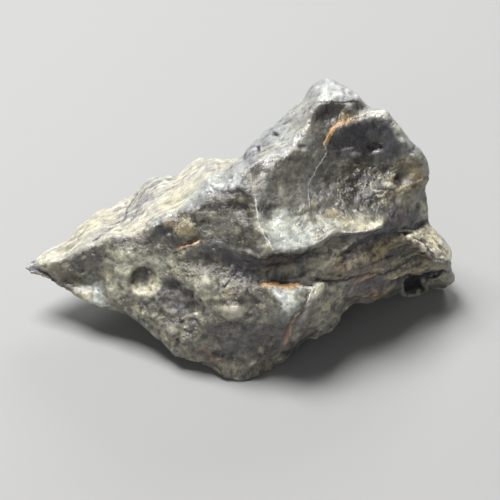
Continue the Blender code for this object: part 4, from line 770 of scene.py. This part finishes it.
def patches(strength, size, seed, low, high):
    return smoothStep(low, high, noiseAt(points, size, seed)) * strength


def frayedSpot(around, spot, widened, frayed):
    across, up, halfWide, halfHigh, *turn = spot
    share = insideSpot(around, across, up, halfWide * widened, halfHigh * widened, *turn)
    return np.clip(share * (1 + frayed * fray), 0, 1)


# each point's tone, how coarse, streaked and flecked it is, and how deep it is pressed
tone = np.tile(tones[hiddenSides["ground"]], (len(points), 1))
for name, *patch in hiddenSides["tones"]:
    tone = toned(tone, name, patches(*patch))
middle, swing, size, seed = hiddenSides["coarse"]
coarse = middle + swing * noiseAt(points, size, seed)
streak = patches(*hiddenSides["streak"])
flecks = patches(*hiddenSides["flecks"])
depth = np.zeros(len(points))

for name, strength, soft, deep, rough, lined, flecked, corners in frontAreas:
    share = insideArea(edges, corners, soft, fray) * marked
    tone = toned(tone, name, share * strength)
    coarse += (rough - coarse) * share
    streak += (lined - streak) * share
    flecks += (flecked - flecks) * share
    depth += deep * share * pressed
for name, strength, *spot in frontDrifts:
    share = frayedSpot(edges, spot, *stoneMarks["drift"])
    tone = toned(tone, name, smoothStep(0.0, 0.9, share) * strength * marked)
for name, strength, deep, *spot in frontSpots:
    share = frayedSpot(drawn, spot, *stoneMarks["spot"])
    tone = toned(tone, name, smoothStep(0.05, 0.75, share) * strength * marked)
    depth += deep * share ** 1.5 * pressed
for deep, *spot in frontCraters:
    depth += deep * smoothStep(0.0, 0.6, insideSpot(edges, *spot)) * pressed

# two layers of lines, so that a line can cross another: each point knows the nearest line of each
layers = []
for _ in range(2):
    layers.append({
        "side": np.full(len(points), 9.0),
        "share": np.zeros(len(points)),
        "width": np.full(len(points), 0.1),
        "deep": np.zeros(len(points)),
        "tone": np.zeros((len(points), 3)),
    })
widened, least = stoneMarks["linePress"]
for number, name, halfWide, strength, deep, line in frontLines:
    nearest, side, past = lineReach(drawn, line)
    ends = 1 - smoothStep(0.0, stoneMarks["lineFade"], past)
    layer = layers[number]
    closer = (nearest < np.abs(layer["side"])) & (nearest < stoneMarks["lineField"])
    given = {"side": side, "share": ends * marked * strength, "width": halfWide, "deep": np.sign(deep)}
    for key, values in given.items():
        layer[key] = np.where(closer, values, layer[key])
    layer["tone"] = np.where(closer[:, None], tones[name], layer["tone"])
    reach = max(halfWide * widened, least)
    depth += deep * np.clip(1 - (nearest / reach) ** 2, 0, 1) ** 1.5 * ends * pressed
print("marks drawn")

raised = np.zeros(len(points))
for name, share in (("lumps", 1), ("knobs", coarse), ("grain", 0.3 + coarse)):
    size, height, seed = stoneShape[name]
    raised += noiseAt(points, size, seed) * height * share
for name in ("widePits", "smallPits"):
    size, height, seed = stoneShape[name]
    raised -= pitsAt(points, size, seed) * height * coarse
points += ((raised - depth) * mm)[:, None] * normals
mesh.vertices.foreach_set("co", points.ravel())
mesh.update()
bulge = evened(mesh, bulgeOf(mesh), 2)
bulge = np.clip(bulge / np.percentile(np.abs(bulge), 90), -3, 3)
print("surface pressed")


def kept(name, values):
    if values.ndim == 2:
        values = np.concatenate([values, np.ones((len(values), 1))], axis=1)
        mesh.attributes.new(name, "FLOAT_COLOR", "POINT").data.foreach_set("color", values.ravel())
    else:
        mesh.attributes.new(name, "FLOAT", "POINT").data.foreach_set("value", values)


kept("tone", tone)
kept("bulge", bulge)
kept("coarse", np.clip(coarse, 0, 2))
kept("streak", streak)
kept("flecks", flecks)
for number, layer in enumerate(layers):
    for name, values in layer.items():
        kept(f"{name}{number}", values)
print("stone painted")

# its finish


class Nodes:
    # short ways to add nodes to one material
    def __init__(self, name):
        self.material = bpy.data.materials.new(name)
        self.material.use_nodes = True
        self.tree = self.material.node_tree
        self.shader = self.tree.nodes["Principled BSDF"]

    def link(self, value, socket):
        if isinstance(value, bpy.types.NodeSocket):
            self.tree.links.new(value, socket)
        else:
            socket.default_value = value

    def add(self, kind, inputs=None, **settings):
        made = self.tree.nodes.new(kind)
        for key, value in settings.items():
            setattr(made, key, value)
        for key, value in (inputs or {}).items():
            self.link(value, made.inputs[key])
        return made

    def sums(self, operation, first, second=0.0):
        return self.add("ShaderNodeMath", {0: first, 1: second}, operation=operation).outputs[0]

    def plus(self, first, *others):
        for other in others:
            first = self.sums("ADD", first, other)
        return first

    def times(self, first, *others):
        for other in others:
            first = self.sums("MULTIPLY", first, other)
        return first

    def ramp(self, value, low, high, toLow=0.0, toHigh=1.0):
        given = {"Value": value, "From Min": low, "From Max": high, "To Min": toLow, "To Max": toHigh}
        return self.add("ShaderNodeMapRange", given, interpolation_type="SMOOTHSTEP").outputs["Result"]

    def swing(self, value, amount, reach=0.2):
        # a noise made to swing that far either side of nothing
        return self.ramp(value, 0.5 - reach, 0.5 + reach, -amount, amount)

    def mix(self, share, first, second, blend="MIX"):
        given = {0: share, 6: first, 7: second}
        return self.add("ShaderNodeMix", given, data_type="RGBA", blend_type=blend).outputs[2]

    def scaled(self, colour, share):
        return self.add("ShaderNodeVectorMath", {0: colour, "Scale": share}, operation="SCALE").outputs[0]

    def read(self, name, output="Fac"):
        return self.add("ShaderNodeAttribute", attribute_name=name).outputs[output]

    def mapped(self, where, **given):
        return self.add("ShaderNodeMapping", {"Vector": where, **given}).outputs[0]

    def noise(self, where, size, seed, detail=3.0, rough=0.6):
        given = {"Vector": where, "Scale": 1 / (size * mm), "Detail": detail, "Roughness": rough, "W": seed}
        return self.add("ShaderNodeTexNoise", given, noise_dimensions="4D").outputs["Fac"]

    def dots(self, where, size, near, far):
        # 1 in the middle of each cell, fading out to nothing
        made = self.add("ShaderNodeTexVoronoi", {"Vector": where, "Scale": 1 / (size * mm)})
        return self.ramp(made.outputs["Distance"], near, far, 1.0, 0.0)


stoneFinish = {
    # how wide the patches of each pattern are, in mm
    "sizes": {
        "blotch": 1.1, "mottle": 0.45, "fine": 0.2, "grit": 0.08, "clumps": 1.4, "warmth": 2.3,
        "wideStreaks": 0.8, "thinStreaks": 0.28, "paleSpecks": 0.42, "darkSpecks": 0.55, "pits": 0.5,
        "roundFlecks": 0.26, "longFlecks": 0.3, "fleckClumps": 0.9, "lineFray": 0.24, "lineWidth": 0.6},
    # how far they swing the tone
    "swings": {"blotch": 0.36, "mottle": 0.28, "fine": 0.11, "wideStreaks": 0.36, "thinStreaks": 0.34},
    # which way the streaks run, and how they are drawn out
    "streakTurn": math.radians(33),
    "streakShape": (0.14, 1.0, 1.0),
    # tints of the light and dark mottling, and of the wide drift from warm to cool
    "lightTint": (1.04, 1.02, 0.86, 1),
    "darkTint": (0.94, 0.94, 1.14, 1),
    "warmTint": (1.10, 1.01, 0.76, 1),
    "coolTint": (0.92, 0.97, 1.07, 1),
    # specks and flecks
    "paleSpeck": (0.50, 0.46, 0.35, 1),
    "darkSpeck": (0.03, 0.028, 0.03, 1),
    "goldFleck": (0.46, 0.35, 0.19, 1),
    "creamFleck": (0.78, 0.72, 0.56, 1),
    "roughness": (0.22, 0.42),
    "gloss": 0.9,
    # how high the relief of the finish stands, in mm
    "bump": 0.09,
}

n = Nodes("stone")
where = n.add("ShaderNodeTexCoord").outputs["Object"]
sizes, swings = stoneFinish["sizes"], stoneFinish["swings"]
blotch = n.noise(where, sizes["blotch"], 1.0, 4.0)
mottle = n.noise(where, sizes["mottle"], 2.0, 4.0, 0.65)
fine = n.noise(where, sizes["fine"], 3.0)
grit = n.noise(where, sizes["grit"], 4.0, 2.0, 0.5)
clumps = n.noise(where, sizes["clumps"], 5.0, 2.0, 0.5)
warmth = n.noise(where, sizes["warmth"], 6.0)
coarseFac = n.read("coarse")
streakFac = n.read("streak")

# streaks run along the ridge: the pattern is turned to it, then drawn out
turned = n.mapped(where, Rotation=(0, stoneFinish["streakTurn"], 0))
drawnOut = n.mapped(turned, Scale=stoneFinish["streakShape"])
wideStreaks = n.noise(drawnOut, sizes["wideStreaks"], 11.0)
thinStreaks = n.noise(drawnOut, sizes["thinStreaks"], 12.0)

# light and dark mottling, stronger where the surface is coarse, then the streaks
uneven = n.plus(n.swing(blotch, swings["blotch"]), n.swing(mottle, swings["mottle"]))
uneven = n.plus(uneven, n.swing(fine, swings["fine"]))
uneven = n.times(uneven, n.ramp(coarseFac, 0.0, 1.2, 0.4, 1.2))
lined = n.swing(wideStreaks, swings["wideStreaks"], 0.14)
lined = n.plus(lined, n.swing(thinStreaks, swings["thinStreaks"], 0.14))
uneven = n.plus(uneven, n.times(lined, streakFac))
lightSide = n.ramp(uneven, 0.0, 0.6)
darkSide = n.ramp(uneven, 0.0, -0.6)

# painted highlight on ridges and painted shade in hollows: ridges are lighter and hollows darker
uneven = n.plus(uneven, n.ramp(n.read("bulge"), -2.0, 2.0, -0.5, 0.35))
light = n.sums("MAXIMUM", n.plus(uneven, 1.0), 0.15)
colour = n.scaled(n.read("tone", "Color"), light)

# the light mottling is warmer and the dark cooler, with a wide drift from warm to cool
colour = n.mix(lightSide, colour, stoneFinish["lightTint"], "MULTIPLY")
colour = n.mix(darkSide, colour, stoneFinish["darkTint"], "MULTIPLY")
colour = n.mix(n.ramp(warmth, 0.5, 0.75, 0.0, 0.35), colour, stoneFinish["warmTint"], "MULTIPLY")
colour = n.mix(n.ramp(warmth, 0.5, 0.25, 0.0, 0.6), colour, stoneFinish["coolTint"], "MULTIPLY")

# pale and dark specks, in clumps
paleSpecks = n.times(n.dots(where, sizes["paleSpecks"], 0.2, 0.38), n.ramp(clumps, 0.5, 0.6))
paleSpecks = n.times(paleSpecks, n.ramp(coarseFac, 0.3, 1.0, 0.0, 0.2))
colour = n.mix(paleSpecks, colour, stoneFinish["paleSpeck"])
darkSpecks = n.times(n.dots(where, sizes["darkSpecks"], 0.15, 0.34), n.ramp(clumps, 0.5, 0.4))
darkSpecks = n.times(darkSpecks, n.ramp(coarseFac, 0.2, 1.0, 0.0, 0.16))
colour = n.mix(darkSpecks, colour, stoneFinish["darkSpeck"])

# cream and golden flecks, drawn out where the surface is streaked
roundFlecks = n.noise(where, sizes["roundFlecks"], 14.0)
longFlecks = n.noise(drawnOut, sizes["longFlecks"], 16.0)
fleckNoise = n.mix(n.ramp(streakFac, 0.2, 0.8), roundFlecks, longFlecks)
fleckClumps = n.sums("SUBTRACT", n.noise(where, sizes["fleckClumps"], 15.0, 2.0, 0.5), 0.5)
fleckNoise = n.plus(fleckNoise, n.times(fleckClumps, 0.6))
fleckShare = n.times(n.ramp(fleckNoise, 0.54, 0.66), n.read("flecks"))
fleckTone = n.mix(n.ramp(fine, 0.4, 0.6), stoneFinish["goldFleck"], stoneFinish["creamFleck"])
colour = n.mix(n.times(fleckShare, 0.85), colour, fleckTone)

# veins and cracks, their edges frayed and their width uneven
lineFray = n.times(n.sums("SUBTRACT", n.noise(where, sizes["lineFray"], 7.0), 0.5), 0.3)
thinner = n.ramp(n.noise(where, sizes["lineWidth"], 9.0), 0.35, 0.65, 0.45, 1.25)
lineLight = n.ramp(mottle, 0.3, 0.7, 0.6, 1.3)
lineHeight = 0.0
for number in range(len(layers)):
    gap = n.sums("ABSOLUTE", n.plus(n.read(f"side{number}"), lineFray))
    wide = n.times(n.read(f"width{number}"), thinner)
    inside = n.ramp(n.sums("DIVIDE", gap, wide), 0.45, 1.3, 1.0, 0.0)
    share = n.times(inside, n.read(f"share{number}"))
    colour = n.mix(share, colour, n.scaled(n.read(f"tone{number}", "Color"), lineLight))
    lineHeight = n.plus(lineHeight, n.times(share, n.times(n.read(f"deep{number}"), -0.7)))
n.link(colour, n.shader.inputs["Base Color"])

# waxy gloss, duller on the grit
dull = n.plus(n.times(fine, 0.5), n.times(mottle, 0.5))
dull = n.plus(n.ramp(dull, 0.35, 0.65, *stoneFinish["roughness"]), n.ramp(coarseFac, 0.3, 1.0, 0.0, 0.12))
n.link(dull, n.shader.inputs["Roughness"])
n.link(stoneFinish["gloss"], n.shader.inputs["Specular IOR Level"])

# fine relief: grain, small pits, streaks, flecks and the edges of lines
pits = n.times(n.dots(where, sizes["pits"], 0.1, 0.42), n.ramp(clumps, 0.42, 0.55))
height = n.plus(n.times(mottle, 1.2), n.times(fine, 1.1), n.times(grit, 0.2), n.times(pits, -0.6))
height = n.times(height, n.ramp(coarseFac, 0.0, 1.2, 0.45, 1.3))
height = n.plus(height, n.times(thinStreaks, streakFac, 1.2), n.times(fleckShare, 0.4), lineHeight)
bump = n.add("ShaderNodeBump", {"Height": height, "Strength": 1.0, "Distance": stoneFinish["bump"] * mm})
n.link(bump.outputs[0], n.shader.inputs["Normal"])
stone.data.materials.clear()
stone.data.materials.append(n.material)
bpy.ops.object.shade_smooth()
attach(stone, "root")
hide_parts("meteorite")
print("stone finished")

# the floor, lights and camera

floorSettings = {"size": 3.0, "colour": (0.31, 0.31, 0.305, 1), "roughness": 0.8}
bpy.ops.object.select_all(action="DESELECT")
bpy.ops.mesh.primitive_plane_add(size=floorSettings["size"], location=(0, 0, 0))
floor = bpy.context.object
floor.name = "floor"
floorNodes = Nodes("floor")
floorNodes.shader.inputs["Base Color"].default_value = floorSettings["colour"]
floorNodes.shader.inputs["Roughness"].default_value = floorSettings["roughness"]
floor.data.materials.append(floorNodes.material)

lights = {
    "key": {"place": (-0.10, 0.06, 0.34), "size": 0.16, "power": 2.4},
    "back": {"place": (0.10, 0.30, 0.20), "size": 0.16, "power": 0.6},
    "fill": {"place": (-0.06, -0.34, 0.14), "size": 0.22, "power": 0.25},
}
lightsAim = Vector((0, 0, 0.01))
for name, light in lights.items():
    bpy.ops.object.light_add(type="AREA", location=light["place"])
    lamp = bpy.context.object
    lamp.name = name
    lamp.data.size = light["size"]
    lamp.data.energy = light["power"]
    lamp.rotation_euler = (lightsAim - lamp.location).to_track_quat("-Z", "Y").to_euler()

studioAir = {"colour": (0.92, 0.95, 1.0, 1), "strength": 0.12}
world = bpy.data.worlds.new("studio")
world.use_nodes = True
background = world.node_tree.nodes["Background"]
background.inputs["Color"].default_value = studioAir["colour"]
background.inputs["Strength"].default_value = studioAir["strength"]
bpy.context.scene.world = world

filmWidth = 36
aim = Vector(photoView["aim"]) * mm
bpy.ops.object.camera_add(location=aim + Vector(viewer) * photoView["distance"] * mm)
camera = bpy.context.object
camera.name = "camera"
camera.rotation_euler = (aim - camera.location).to_track_quat("-Z", "Y").to_euler()
camera.data.sensor_width = filmWidth
camera.data.lens = filmWidth * photoView["distance"] / photoView["width"]
camera.data.clip_start = 0.01
camera.data.clip_end = 10
bpy.context.scene.camera = camera
bpy.context.scene.view_settings.view_transform = "Standard"
print("stage set")
